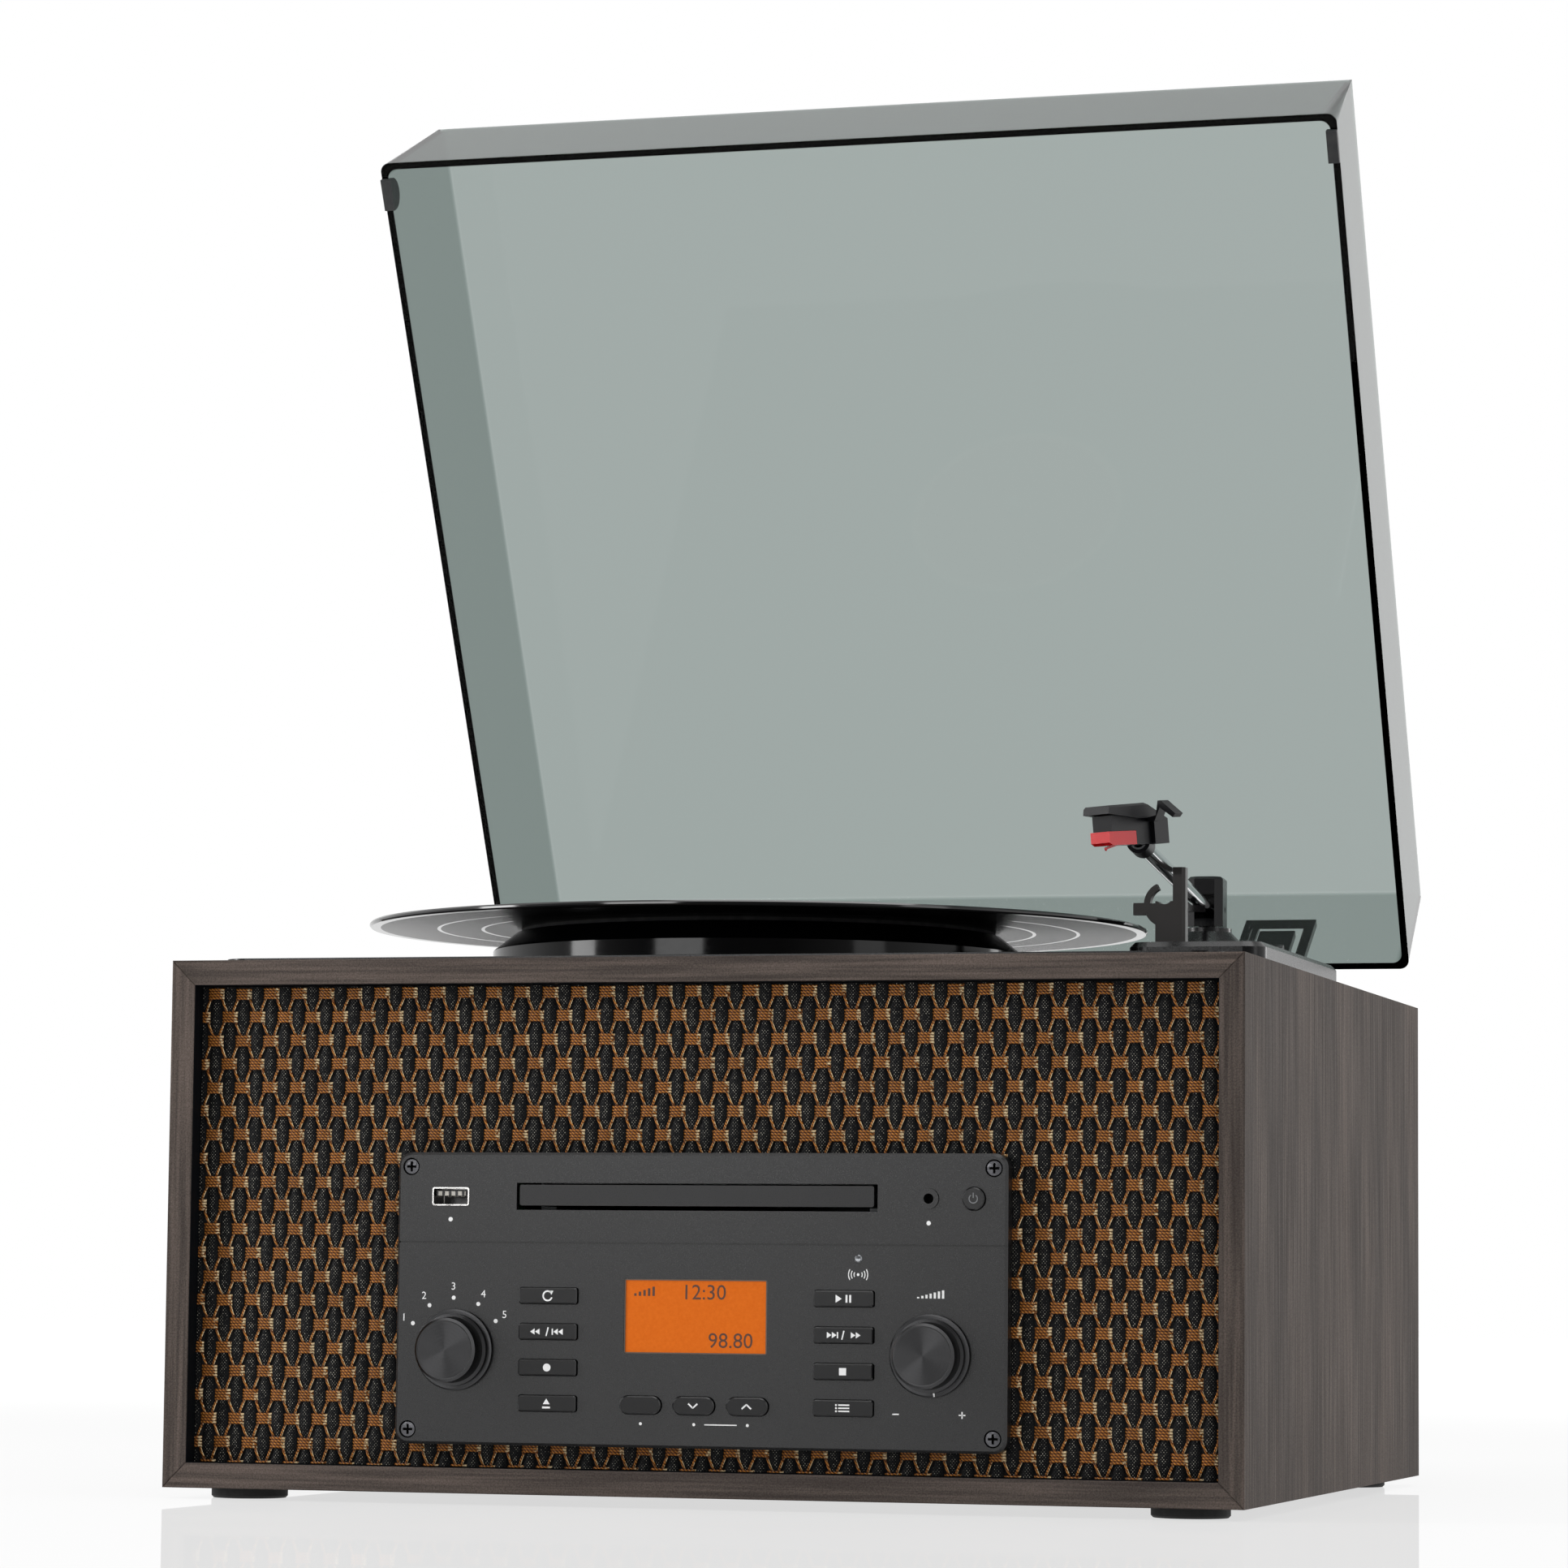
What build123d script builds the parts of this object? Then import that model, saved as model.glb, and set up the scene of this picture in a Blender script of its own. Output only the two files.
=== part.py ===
"""Stereo music centre: wooden cabinet, radio and disc module, record deck and hinged lid.
Millimetres. +X right, +Y back, +Z up. Origin: on the resting plane, below the middle of the whole with its lid open.
"""
from build123d import *
from math import cos, radians, sin, sqrt, tan
import os

os.makedirs("parts", exist_ok=True)

# ---- cabinet ----
CAB_WIDTH, CAB_HEIGHT, CAB_DEPTH = 400.0, 192.0, 372.0
BOARD, ARRIS = 9.2, 0.35  # board thickness, and the broken edge round each board's front end
FOOT_RADIUS, FOOT_HEIGHT, FOOT_INSET_X, FOOT_INSET_Y, FOOT_BEVEL = 14.0, 4.0, 24.0, 26.0, 0.8
CLEAT = 12.0  # square battens in the rear corners, which take the rear screws
REAR_PANEL = 5.0
VENT_LENGTH, VENT_WIDTH, VENT_PITCH, VENT_COUNT = 34.0, 3.2, 7.0, 7
VENT_X, VENT_RISE = 60.0, 20.0  # pitch of the vent columns, and their middle above the cabinet's
REAR_SCREW_INSET = 15.0
SOCKETS_X, SOCKETS_Z, RCA_PITCH, RCA_RADIUS, RCA_BORE, RCA_LENGTH = -120.0, 60.0, 14.0, 4.15, 1.7, 9.0
INLET_X, INLET_WIDTH, INLET_HEIGHT, INLET_CORNER, INLET_WALL = -155.0, 19.0, 13.0, 4.0, 2.2
INLET_DEEP, INLET_FLANGE, INLET_RIM, INLET_PIN, INLET_PIN_X, SOCKET_BLOCK = 11.0, 1.5, 2.0, 1.2, 4.3, 15.0
SEAT_GAP = 0.2  # between pieces that are pushed together by hand

# ---- front: recessed cloth, baffle, speakers ----
GRILLE_RECESS, CLOTH, BAFFLE = 7.5, 1.2, 9.0
SPEAKER_SIDE_GAP, SPEAKER_Z = 0.8, 100.0  # between each speaker's frame and the side board
SPEAKER_HOLE, SPEAKER_FRAME, SPEAKER_DEPTH = 34.0, 40.0, 22.0
MAGNET_RADIUS, MAGNET_DEPTH = 27.0, 14.0
CONE_SURROUND, CONE_DEEP, CONE_NECK, PAPER, ROLL, ROLL_RISE = 33.0, 17.0, 10.0, 0.8, 3.0, 1.6
DUST_CAP, DUST_CAP_RISE = 6.0, 5.0
BASKET_SHEET, BASKET_SEAT, PORT_WIDTH, PORT_LENGTH, PORT_MARGIN = 1.5, 2.0, 26.0, 20.0, 4.0

# ---- fascia ----
FASCIA_WIDTH, FASCIA_HEIGHT, FASCIA_DEPTH, FASCIA_WALL = 226.6, 104.6, 6.5, 2.4
FASCIA_X, FASCIA_Z, FASCIA_CORNER, FASCIA_BEVEL = 2.5, 73.7, 5.0, 1.0
FASCIA_LIP = 4.0  # how far the fascia covers the cloth round its window
SEAM_Z, SEAM_WIDTH, SEAM_DEEP = 93.7, 0.6, 0.5
SCREW_X, SCREW_Z, SCREW_HEAD, SCREW_SHANK, SCREW_BITE, SCREW_FIT = 108.3, 47.1, 3.1, 1.5, 6.0, 0.05
HEAD_SIDE, HEAD_DOME, HEAD_RECESS, CROSS_LENGTH, CROSS_WIDTH, CROSS_DEEP = 1.0, 0.2, 1.4, 3.4, 0.7, 0.8
SCREW_TAB, SCREW_BOSS = 9.0, 0.6  # the baffle runs in behind each fascia screw, and a wall is round its head
CONTROL_GAP, SNUG = 0.3, 0.05  # round what moves in the fascia, and round what is pressed into it

# ---- controls: places are measured from the cabinet's middle and the resting plane ----
KNOB_X, KNOB_Z, KNOB_RADIUS, KNOB_FLANGE, KNOB_HEIGHT = 88.2, 55.2, 11.4, 14.5, 11.5
KNOB_SKIRT, KNOB_SHAFT, ENCODER = 12.9, 3.0, 13.0
FLANGE_EDGE, FLANGE_TOP, SKIRT_TOP, KNOB_BEVEL, FACE_RIM, FACE_SUNK = 1.6, 2.2, 3.4, 0.9, 0.4, 0.3
TICK_ANGLE, TICK_LENGTH, TICK_WIDTH, TICK_DEEP = 8.0, 1.5, 0.8, 0.4  # index on the volume knob's flange
KEY_LENGTH, KEY_HEIGHT, KEY_PROUD, KEY_TRAVEL = 21.8, 5.6, 1.7, 0.8
KEY_CORNER, KEY_BEVEL, BUTTON_RIM, BUTTON_RIM_THICK, BUTTON_STEM = 0.8, 0.4, 1.0, 0.8, 1.2
LEFT_KEYS_X, RIGHT_KEYS_X, KEYS_TOP_Z, KEY_PITCH = -52.8, 56.8, 74.8, 12.75
PILL_LENGTH, PILL_HEIGHT, PILL_Z, PILL_PITCH, PILL_X = 15.4, 6.3, 36.5, 19.8, -17.9
POWER_X, SOCKET_Z, POWER_RADIUS = 103.7, 110.1, 4.0
DISPLAY_WIDTH, DISPLAY_HEIGHT, DISPLAY_X, DISPLAY_Z = 53.0, 26.4, 2.0, 67.9
DISPLAY_SUNK, DISPLAY_CORNER = 0.5, 0.9
LED_X, LED_Z, LED_RADIUS, LED_DOME = 61.8, 88.9, 1.4, 0.8
USB_X, USB_WIDTH, USB_HEIGHT = -90.5, 14.0, 6.6
USB_WALL, USB_CORNER, USB_PROUD, USB_DEEP = 0.5, 0.8, 0.3, 11.0
TONGUE_WIDTH, TONGUE, TONGUE_UP, TONGUE_BACK = 11.4, 1.8, 1.2, 0.8
JACK_X, JACK_RING, JACK_BORE, JACK_END, JACK_PROUD = 87.3, 3.6, 1.8, 3.0, 0.6
PCB, PCB_GAP, PCB_MARGIN, PCB_SIDE, PCB_WING, PCB_WING_UP = 1.6, 1.0, 3.0, 7.0, 31.0, 5.0
PCB_POST, PCB_POST_INSET = 2.5, 6.0

# ---- disc drive ----
TRAY_WIDTH, TRAY_HEIGHT, TRAY_X, TRAY_Z = 131.6, 7.4, 1.6, 110.7
TRAY_TRAVEL, TRAY_HELD, TRAY_SLIDE = 130.0, 35.0, 0.6  # travel, and the length that stays in the drive
TRAY_FRONT, TRAY_PROUD, TRAY_INSET, TRAY_SHEET, TRAY_CORNER = 1.6, 0.3, 3.0, 5.4, 0.8
SLOT_GAP_SIDE, SLOT_GAP_TOP, SLOT_GAP_BOTTOM = 1.3, 0.7, 1.6
DISC_RADIUS, DISC_RECESS, DISC_MARGIN, DISC_WINDOW, DISC_WINDOW_BACK = 61.0, 2.0, 6.0, 20.0, 10.0
DRIVE_WALL, DRIVE_BELOW, DRIVE_ABOVE, DRIVE_END = 1.2, 20.0, 1.2, 4.0
RAIL, RAIL_GRIP, RAIL_GAP, LEG_WIDTH, TOE = 2.0, 4.0, 0.2, 16.0, 12.0

# ---- main board and transformer ----
MAIN_X, MAIN_WIDTH, MAIN_DEPTH, MAIN_BEHIND = -60.0, 180.0, 120.0, 25.0
MAIN_POST, MAIN_POST_RADIUS, MAIN_POST_INSET = 8.0, 3.0, 5.0
SINK_X, SINK_WIDTH, SINK_HEIGHT, SINK_BACK, SINK_FRONT = -60.0, 60.0, 30.0, 4.0, 20.0
FIN, FIN_DEPTH, FIN_COUNT = 3.0, 14.0, 7
CAPACITORS_X, CAPACITOR_PITCH, CAPACITORS_BACK = -120.0, 22.0, 80.0
CAPACITOR_RADIUS, CAPACITOR_HEIGHT = 9.0, 28.0
TRANSFORMER_X, TRANSFORMER_Y, CORE_WIDTH, CORE_DEPTH, CORE_HEIGHT = 125.0, 300.0, 54.0, 26.0, 45.0
COIL, COIL_HEIGHT, COIL_CORNER, LUG, LUG_SHEET = 8.0, 27.0, 4.0, 10.0, 1.5

# ---- record deck ----
SPINDLE_X, SPINDLE_Y, SPINDLE_RADIUS, SPINDLE_END = -24.0, 165.0, 3.6, 3.4
SPINDLE_ABOVE, SPINDLE_NOSE, BEARING_RADIUS, BEARING_BELOW = 8.0, 2.5, 10.0, 6.0
DECK_WIDTH, DECK_DEPTH, DECK_SHEET, DECK_FRONT, DECK_CORNER = 376.0, 340.0, 1.6, 16.0, 10.0
PLATTER_RADIUS, PLATTER_TOP_RADIUS, PLATTER_RIM, PLATTER_HEIGHT = 103.0, 94.0, 7.5, 14.0
PLATTER_WALL, DRIVE_RING, DRIVE_RING_WALL, RING_ABOVE, HUB_RADIUS, RIM_ROUND = 4.0, 72.0, 3.0, 1.5, 13.0, 0.7
PLATTER_LIFT = 2.4  # underside of the platter above the deck sheet
MAT, MAT_RADIUS = 1.5, 92.0
RECORD_RADIUS, RECORD, RECORD_BEAD, RECORD_HOLE, LABEL_RADIUS = 150.8, 1.9, 0.35, 3.65, 50.0
RECORD_ROUND, BEAD_WIDTH = 0.6, 3.0
RUNNING = 0.05
PULLEY_RADIUS, PULLEY_FLANGE, PULLEY_HEIGHT = 5.0, 6.2, 6.0
BELT, BELT_HEIGHT, BELT_GAP, BELT_LOW = 0.8, 4.0, 0.3, 1.0
MOTOR_RADIUS, MOTOR_HEIGHT, MOTOR_ANGLE, MOTOR_REACH = 16.0, 22.0, 215.0, 86.0
MOTOR_FLANGE, MOTOR_FLANGE_SHEET, MOTOR_SHAFT, MOTOR_SHAFT_DEEP, PULLEY_ROOM = 6.0, 1.0, 1.0, 7.0, 3.0

# ---- tonearm: places from the cabinet's front, heights from the cabinet's top ----
ARM_X, ARM_Y, ARM_Z = 135.0, 255.0, 33.2
ARM_OUT, ARM_RISE, ARM_DROP, ARM_LENGTH, ARM_RADIUS, ARM_WALL = 2.9, 4.4, 5.6, 170.0, 3.0, 0.7
ARM_TAIL, TRUNNION, TUBE_SOLID, TUBE_ROOM, SWING_ROOM = 4.5, 1.2, 8.0, 1.0, 0.8
HEAD_AHEAD, HEAD_OFFSET, HEAD_NOD = 7.4, 25.0, 9.5
SHELL_FRONT, SHELL_REAR, SHELL_HALF, SHELL_PEAK, SHELL_SLOPE, SHELL_BEVEL = 24.0, -14.0, 5.6, 12.6, 6.0, 0.8
SHELL_UNDER, SHELL_NOSE, SHELL_NOSE_UNDER, SHELL_WALL, SHELL_ROOF, SHELL_HEEL = 7.0, 3.0, 9.0, 1.2, 1.1, -2.5
COLLAR, COLLAR_LENGTH = 4.4, 12.0
LIFT_TAB_AT, LIFT_TAB_WIDTH, LIFT_TAB, LIFT_TAB_X, LIFT_TAB_TOP, LIFT_TAB_OUT = -4.0, 5.0, 1.3, 11.4, 12.9, 17.4
CARTRIDGE_HALF, CARTRIDGE_FRONT, CARTRIDGE_REAR, CARTRIDGE_UNDER = 4.1, 20.5, -4.8, -2.4
CARRIER_TOP, CARRIER_FRONT, CARRIER_REAR, CARRIER_RAKE, CARRIER_FIT = 2.6, 22.4, 4.9, 2.0, 0.1
STYLUS_AT, STYLUS_UNDER, CANTILEVER, CANTILEVER_LENGTH = 19.2, -4.2, 0.3, 9.0
ISLAND_HEIGHT, ISLAND_LEFT, ISLAND_RIGHT, ISLAND_FRONT, ISLAND_BACK = 13.0, 127.5, 180.0, 138.0, 300.0
ISLAND_WALL, ISLAND_CHAMFER, ISLAND_CORNER = 4.0, 2.0, 8.0
BASE_BOTTOM, BASE_TOP, BASE_HEIGHT, BASE_LAND, BASE_FOOT, BUSH = 19.5, 9.6, 12.6, 1.5, 0.8, 1.4
GIMBAL_WIDTH, GIMBAL_DEPTH, GIMBAL_BELOW, GIMBAL_ABOVE = 14.0, 17.0, 7.0, 12.8
GIMBAL_CHAMFER, GIMBAL_BEVEL = 3.0, 1.0
TRUNNION_SHY = 0.3  # how far each trunnion ends inside the housing's side
YAW_PIN, YAW_PIN_LENGTH = 3.5, 18.0
POST_Y, POST_LEFT, POST_DEPTH, POST_TOP, POST_LIP = 150.0, 137.0, 6.6, 41.6, 1.2
FINGER, CRADLE_GAP, FINGER_BEVEL = 4.6, 0.4, 1.2
CLIP_X, CLIP_Z, CLIP_OUTER, CLIP_INNER, CLIP_THICK, CLIP_BEHIND = 139.0, 28.3, 8.7, 6.3, 3.4, 4.0
CLIP_TIP, CLIP_END, CLIP_FLANGE, CLIP_FLANGE_SHEET, CLIP_PLAY = 116.0, 330.0, 7.4, 1.0, 0.4
CLIP_TAB, CLIP_TAB_HEIGHT, CLIP_TAB_DROP, HUB_FLAT = 3.6, 4.6, 1.6, 0.2
LIFT_REACH, LIFT_INWARD, LIFT_ROD, LIFT_RAIL, LIFT_GAP = 34.0, 4.0, 1.5, 2.5, 0.3
LIFT_FROM, LIFT_TO = 10.0, -38.0  # the rail's ends, as headings from the arm's pivot
LIFT_SUNK = 4.0  # the rod's lower end above the cabinet's top, with the lift raised
CUE_X, CUE_Y, CUE_HUB, CUE_BLADE, CUE_LENGTH, CUE_LEAN, CUE_PIN = 168.0, 216.0, 3.2, 2.4, 22.0, 14.0, 1.0
CUE_TIP, CUE_PIN_LENGTH, CUE_ROOM, CUE_ROOM_FRONT, CUE_ROOM_BACK = 1.8, 9.0, 1.4, 5.0, 3.0
SELECTOR_X, SELECTOR_Y, SELECTOR_SHIFT = 158.0, 62.0, 9.0
SELECTOR_RADIUS, SELECTOR_HEIGHT, SELECTOR_STEM = 3.4, 2.6, 1.6
SELECTOR_END, SELECTOR_SIDE, SELECTOR_DEEP, SELECTOR_BEVEL, SELECTOR_ROOM = 1.0, 0.4, 6.0, 0.5, 2.0

# ---- lid ----
LID_WIDTH, LID_LENGTH, LID_HEIGHT, LID_WALL, LID_DRAFT = 395.0, 365.0, 67.0, 2.8, 3.6
LID_CORNER, LID_EDGE, LID_GAP, LID_BACK, LID_OPEN = 4.0, 3.0, 2.5, 2.0, 62.0
BUMPER_LENGTH, BUMPER_AT, BUMPER_TONGUE = 13.0, 13.0, 1.5

# ---- hinges ----
HINGE_X, HINGE_BEHIND, HINGE_ABOVE = 137.0, 9.2, 10.1
LEAF_WIDTH, LEAF, LEAF_HEIGHT, LOOP_WIDTH, LOOP_BAR, LOOP_HEIGHT = 15.0, 3.0, 33.0, 30.0, 2.5, 43.0
LEAF_GAP, LEAF_FOOT, RIB_RADIUS, RIB_X, RIB_OUT, RIB_FROM, RIB_TO = 0.2, 3.0, 1.6, 11.0, 4.0, 18.0, 41.0
WEB_TOP, WEB_IN = 22.0, 1.5  # the web's highest point up the wall, and how far its ends reach into the leaf
CHEEK, CHEEK_RADIUS, CHEEK_GAP, CHEEK_FOOT, CHEEK_RAKE = 3.3, 5.0, 0.3, 2.0, 14.0
PIN_RADIUS, PIN_FIT, PIN_HEAD, PIN_HEAD_RADIUS = 2.0, 0.02, 1.2, 3.2
KNUCKLE_RADIUS, BRACKET_WIDTH, BRACKET, BRACKET_DROP, BRACKET_RISE = 4.5, 28.0, 3.0, 24.0, 2.0

# ---- worked out from the sizes above ----
TOP = FOOT_HEIGHT + CAB_HEIGHT
RIM_Z = TOP + LID_GAP
REAR_RIM = CAB_DEPTH - LID_BACK
PIVOT_Y, PIVOT_Z = REAR_RIM + HINGE_BEHIND, RIM_Z + HINGE_ABOVE
OPEN = radians(LID_OPEN)
PLATE_IN = LID_HEIGHT * tan(radians(LID_DRAFT))
LID_REACH = PIVOT_Y - (HINGE_BEHIND + PLATE_IN) * cos(OPEN) + (LID_HEIGHT - HINGE_ABOVE) * sin(OPEN)
FASCIA_Y = GRILLE_RECESS - FASCIA_DEPTH
FRONT = -(LID_REACH + FASCIA_Y - KNOB_HEIGHT) / 2  # the cabinet's front face
BACK = FRONT + CAB_DEPTH
INNER_W, INNER_H = CAB_WIDTH - 2 * BOARD, CAB_HEIGHT - 2 * BOARD
MID_Z = FOOT_HEIGHT + CAB_HEIGHT / 2
CLOTH_Y, BAFFLE_Y = GRILLE_RECESS, GRILLE_RECESS + CLOTH
INSIDE_Y = BAFFLE_Y + BAFFLE
REAR_Y = CAB_DEPTH - REAR_PANEL
DECK_Z = TOP + DECK_SHEET
PLATTER_Z = DECK_Z + PLATTER_LIFT
RECORD_Z = PLATTER_Z + PLATTER_HEIGHT + MAT
SPINDLE = (SPINDLE_X, FRONT + SPINDLE_Y)
ISLAND_Z = TOP + ISLAND_HEIGHT
ARM = (ARM_X, FRONT + ARM_Y, TOP + ARM_Z)
SELECTOR = (SELECTOR_X, FRONT + SELECTOR_Y)
FLOOR_Z = FOOT_HEIGHT + BOARD
BOARD_Y = INSIDE_Y + PCB_GAP


def save(name, *solids):
    """Writes one node as parts/NAME.step, with each piece as a solid of its own."""
    pieces = [s for shape in solids for s in shape.solids()]
    export_step(pieces[0] if len(pieces) == 1 else Compound(children=pieces), f"parts/{name}.step")


def block(x0, x1, y0, y1, z0, z1):
    """A cuboid between two corners, with y counted from the cabinet's front."""
    size = (x1 - x0, y1 - y0, z1 - z0)
    return Pos(x0, FRONT + y0, z0) * Box(*size, align=(Align.MIN, Align.MIN, Align.MIN))


def facing(y):
    """A plane that looks forwards, y behind the cabinet's front: local x is X and local y is Z."""
    return Plane(origin=(0, FRONT + y, 0), x_dir=(1, 0, 0), z_dir=(0, -1, 0))


def turned(*points):
    """A solid of revolution about Z from an outline of (radius, height) points."""
    return revolve(Plane.XZ * make_face(Polyline(*points, close=True)), Axis.Z)


def tube(outer, inner, height):
    return extrude(Circle(outer) - Circle(inner), height)


def front_box(x, z, width, height, y0, y1, corner=0.0):
    """A bar along Y from y0 back to y1, with rounded corners if asked."""
    outline = RectangleRounded(width, height, corner) if corner else Rectangle(width, height)
    return extrude(facing(y1) * Pos(x, z) * outline, y1 - y0)


def front_round(x, z, radius, y0, y1):
    return extrude(facing(y1) * Pos(x, z) * Circle(radius), y1 - y0)


# ---- cabinet boards, mitred where they meet ----
def board_ring():
    """The four boards' end view, cut along the mitres, as left, right, top and bottom."""
    ox, oz, ix, iz = CAB_WIDTH / 2, CAB_HEIGHT / 2, INNER_W / 2, INNER_H / 2
    side = [(-ox, -oz), (-ox, oz), (-ix, iz), (-ix, -iz)]
    lid = [(-ox, oz), (ox, oz), (ix, iz), (-ix, iz)]
    outlines = {
        "cabinet_left_side": side,
        "cabinet_right_side": [(-x, z) for x, z in side],
        "cabinet_top": lid,
        "cabinet_bottom": [(x, -z) for x, z in lid],
    }
    place = facing(CAB_DEPTH) * Pos(0, MID_Z)
    return {
        name: extrude(place * make_face(Polyline(*points, close=True)), CAB_DEPTH)
        for name, points in outlines.items()
    }


MOTOR = (
    SPINDLE[0] + MOTOR_REACH * cos(radians(MOTOR_ANGLE)),
    SPINDLE[1] + MOTOR_REACH * sin(radians(MOTOR_ANGLE)),
)
boards = board_ring()
for name in boards:
    front_end = boards[name].faces().sort_by(Axis.Y)[0]
    boards[name] = chamfer(front_end.edges(), ARRIS)
SLOT_LENGTH = 2 * (SELECTOR_SHIFT + SELECTOR_STEM + SELECTOR_END)
SLOT_WIDTH = 2 * (SELECTOR_STEM + SELECTOR_SIDE)
below_deck = TOP - BOARD - 1
bearing_bore = Pos(*SPINDLE, below_deck) * extrude(Circle(BEARING_RADIUS), BOARD + 2)
motor_bore = Pos(*MOTOR, below_deck) * extrude(Circle(PULLEY_FLANGE + PULLEY_ROOM + 1), BOARD + 2)
arm_bore = Pos(ARM[0], ARM[1], below_deck) * extrude(Circle(YAW_PIN + BUSH + PULLEY_ROOM), BOARD + 2)
selector_slot = SlotOverall(SLOT_LENGTH + 2 * SELECTOR_ROOM, SLOT_WIDTH + 2 * SELECTOR_ROOM)
selector_room = Pos(*SELECTOR, below_deck) * extrude(selector_slot, BOARD + 2)
boards["cabinet_top"] -= bearing_bore + motor_bore + arm_bore + selector_room
CLEATS = {"cabinet_left_side": -1, "cabinet_right_side": 1}
screw_rise = INNER_H / 2 - REAR_SCREW_INSET
REAR_SCREWS = [(INNER_W / 2 - CLEAT / 2, MID_Z + z) for z in (-screw_rise, 0, screw_rise)]
for name, side in CLEATS.items():
    centre = side * (INNER_W - CLEAT) / 2
    boards[name] += Pos(centre, FRONT + REAR_Y - CLEAT / 2, MID_Z) * Box(CLEAT, CLEAT, INNER_H - 2)
    for x, z in REAR_SCREWS:
        boards[name] -= front_round(side * x, z, SCREW_SHANK + SCREW_FIT, REAR_Y - SCREW_BITE - 1, REAR_Y + 1)
for name, solid in boards.items():
    save(name, solid)

foot_x = CAB_WIDTH / 2 - FOOT_INSET_X
foot_y = FRONT + FOOT_INSET_Y, BACK - FOOT_INSET_Y
foot = extrude(Circle(FOOT_RADIUS), FOOT_HEIGHT)
foot = chamfer(foot.edges().sort_by(Axis.Z)[0], FOOT_BEVEL)
save("feet", *[Pos(sx * foot_x, y) * foot for sx in (-1, 1) for y in foot_y])


# ---- screws ----
def screw(length):
    """A round-headed cross-recess screw, standing on its tip."""
    top = length + HEAD_SIDE + HEAD_DOME
    body = turned(
        (0, 0), (SCREW_SHANK, 0), (SCREW_SHANK, length), (SCREW_HEAD, length),
        (SCREW_HEAD - HEAD_SIDE / 2, length + HEAD_SIDE), (0, top),
    )
    cross = Rectangle(CROSS_LENGTH, CROSS_WIDTH) + Rectangle(CROSS_WIDTH, CROSS_LENGTH)
    return body - Pos(0, 0, top - CROSS_DEEP) * extrude(cross, 2 * CROSS_DEEP)


FASCIA_SCREW = FASCIA_DEPTH + CLOTH + SCREW_BITE - HEAD_RECESS
REAR_SCREW = REAR_PANEL + SCREW_BITE
SCREWS = [(FASCIA_X + sx * SCREW_X, FASCIA_Z + sz * SCREW_Z) for sx in (-1, 1) for sz in (-1, 1)]


def behind(x, y, z):
    """A place seen from the rear of the cabinet, with local z pointing backwards."""
    return Plane(origin=(x, FRONT + y, z), x_dir=(-1, 0, 0), z_dir=(0, 1, 0))


fascia_seat = facing(FASCIA_Y + HEAD_RECESS + FASCIA_SCREW)
fascia_screws = [fascia_seat * Pos(*p) * screw(FASCIA_SCREW) for p in SCREWS]
rear_screws = [
    behind(side * x, REAR_Y - SCREW_BITE, z) * screw(REAR_SCREW) for side in (-1, 1) for x, z in REAR_SCREWS
]
save("screws", *fascia_screws, *rear_screws)

# ---- rear panel with its vents and sockets ----
rear_outline = Rectangle(INNER_W - 2 * SEAT_GAP, INNER_H - 2 * SEAT_GAP)
vents = Sketch() + [
    Pos(x, MID_Z + VENT_RISE + VENT_PITCH * (i - (VENT_COUNT - 1) / 2)) * SlotOverall(VENT_LENGTH, VENT_WIDTH)
    for x in (-VENT_X, 0, VENT_X)
    for i in range(VENT_COUNT)
]
socket_hole = Pos(SOCKETS_X, SOCKETS_Z) * Rectangle(2 * RCA_PITCH, RCA_PITCH)
inlet_outline = RectangleRounded(INLET_WIDTH, INLET_HEIGHT, INLET_CORNER)
inlet_hole = Pos(INLET_X, SOCKETS_Z) * offset(inlet_outline, SEAT_GAP)
rear_face = Pos(0, MID_Z) * rear_outline - vents - socket_hole - inlet_hole
rear_panel = extrude(facing(CAB_DEPTH) * rear_face, REAR_PANEL)
for side in (-1, 1):
    for x, z in REAR_SCREWS:
        rear_panel -= front_round(side * x, z, SCREW_SHANK + SCREW_FIT, REAR_Y - 1, CAB_DEPTH + 1)
save("rear_panel", rear_panel)

line_out = front_box(
    SOCKETS_X, SOCKETS_Z, 2 * (RCA_PITCH - SEAT_GAP), RCA_PITCH - 2 * SEAT_GAP, REAR_Y - SOCKET_BLOCK, CAB_DEPTH
)
for side in (-0.5, 0.5):
    seat = behind(SOCKETS_X + side * RCA_PITCH, CAB_DEPTH, SOCKETS_Z)
    line_out += seat * tube(RCA_RADIUS, RCA_BORE, RCA_LENGTH)
inlet_seat = behind(INLET_X, REAR_Y - SOCKET_BLOCK, SOCKETS_Z)
inlet_length = SOCKET_BLOCK + REAR_PANEL
inlet_mouth = offset(inlet_outline, -INLET_WALL)
inlet = inlet_seat * extrude(inlet_outline, inlet_length)
inlet += behind(INLET_X, CAB_DEPTH, SOCKETS_Z) * extrude(offset(inlet_outline, INLET_RIM), INLET_FLANGE)
inlet -= behind(INLET_X, CAB_DEPTH + INLET_FLANGE - INLET_DEEP, SOCKETS_Z) * extrude(inlet_mouth, INLET_DEEP)
for side in (-1, 1):
    inlet += inlet_seat * Pos(side * INLET_PIN_X, 0) * extrude(Circle(INLET_PIN), inlet_length - 1)
save("rear_sockets", line_out, inlet)

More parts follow.
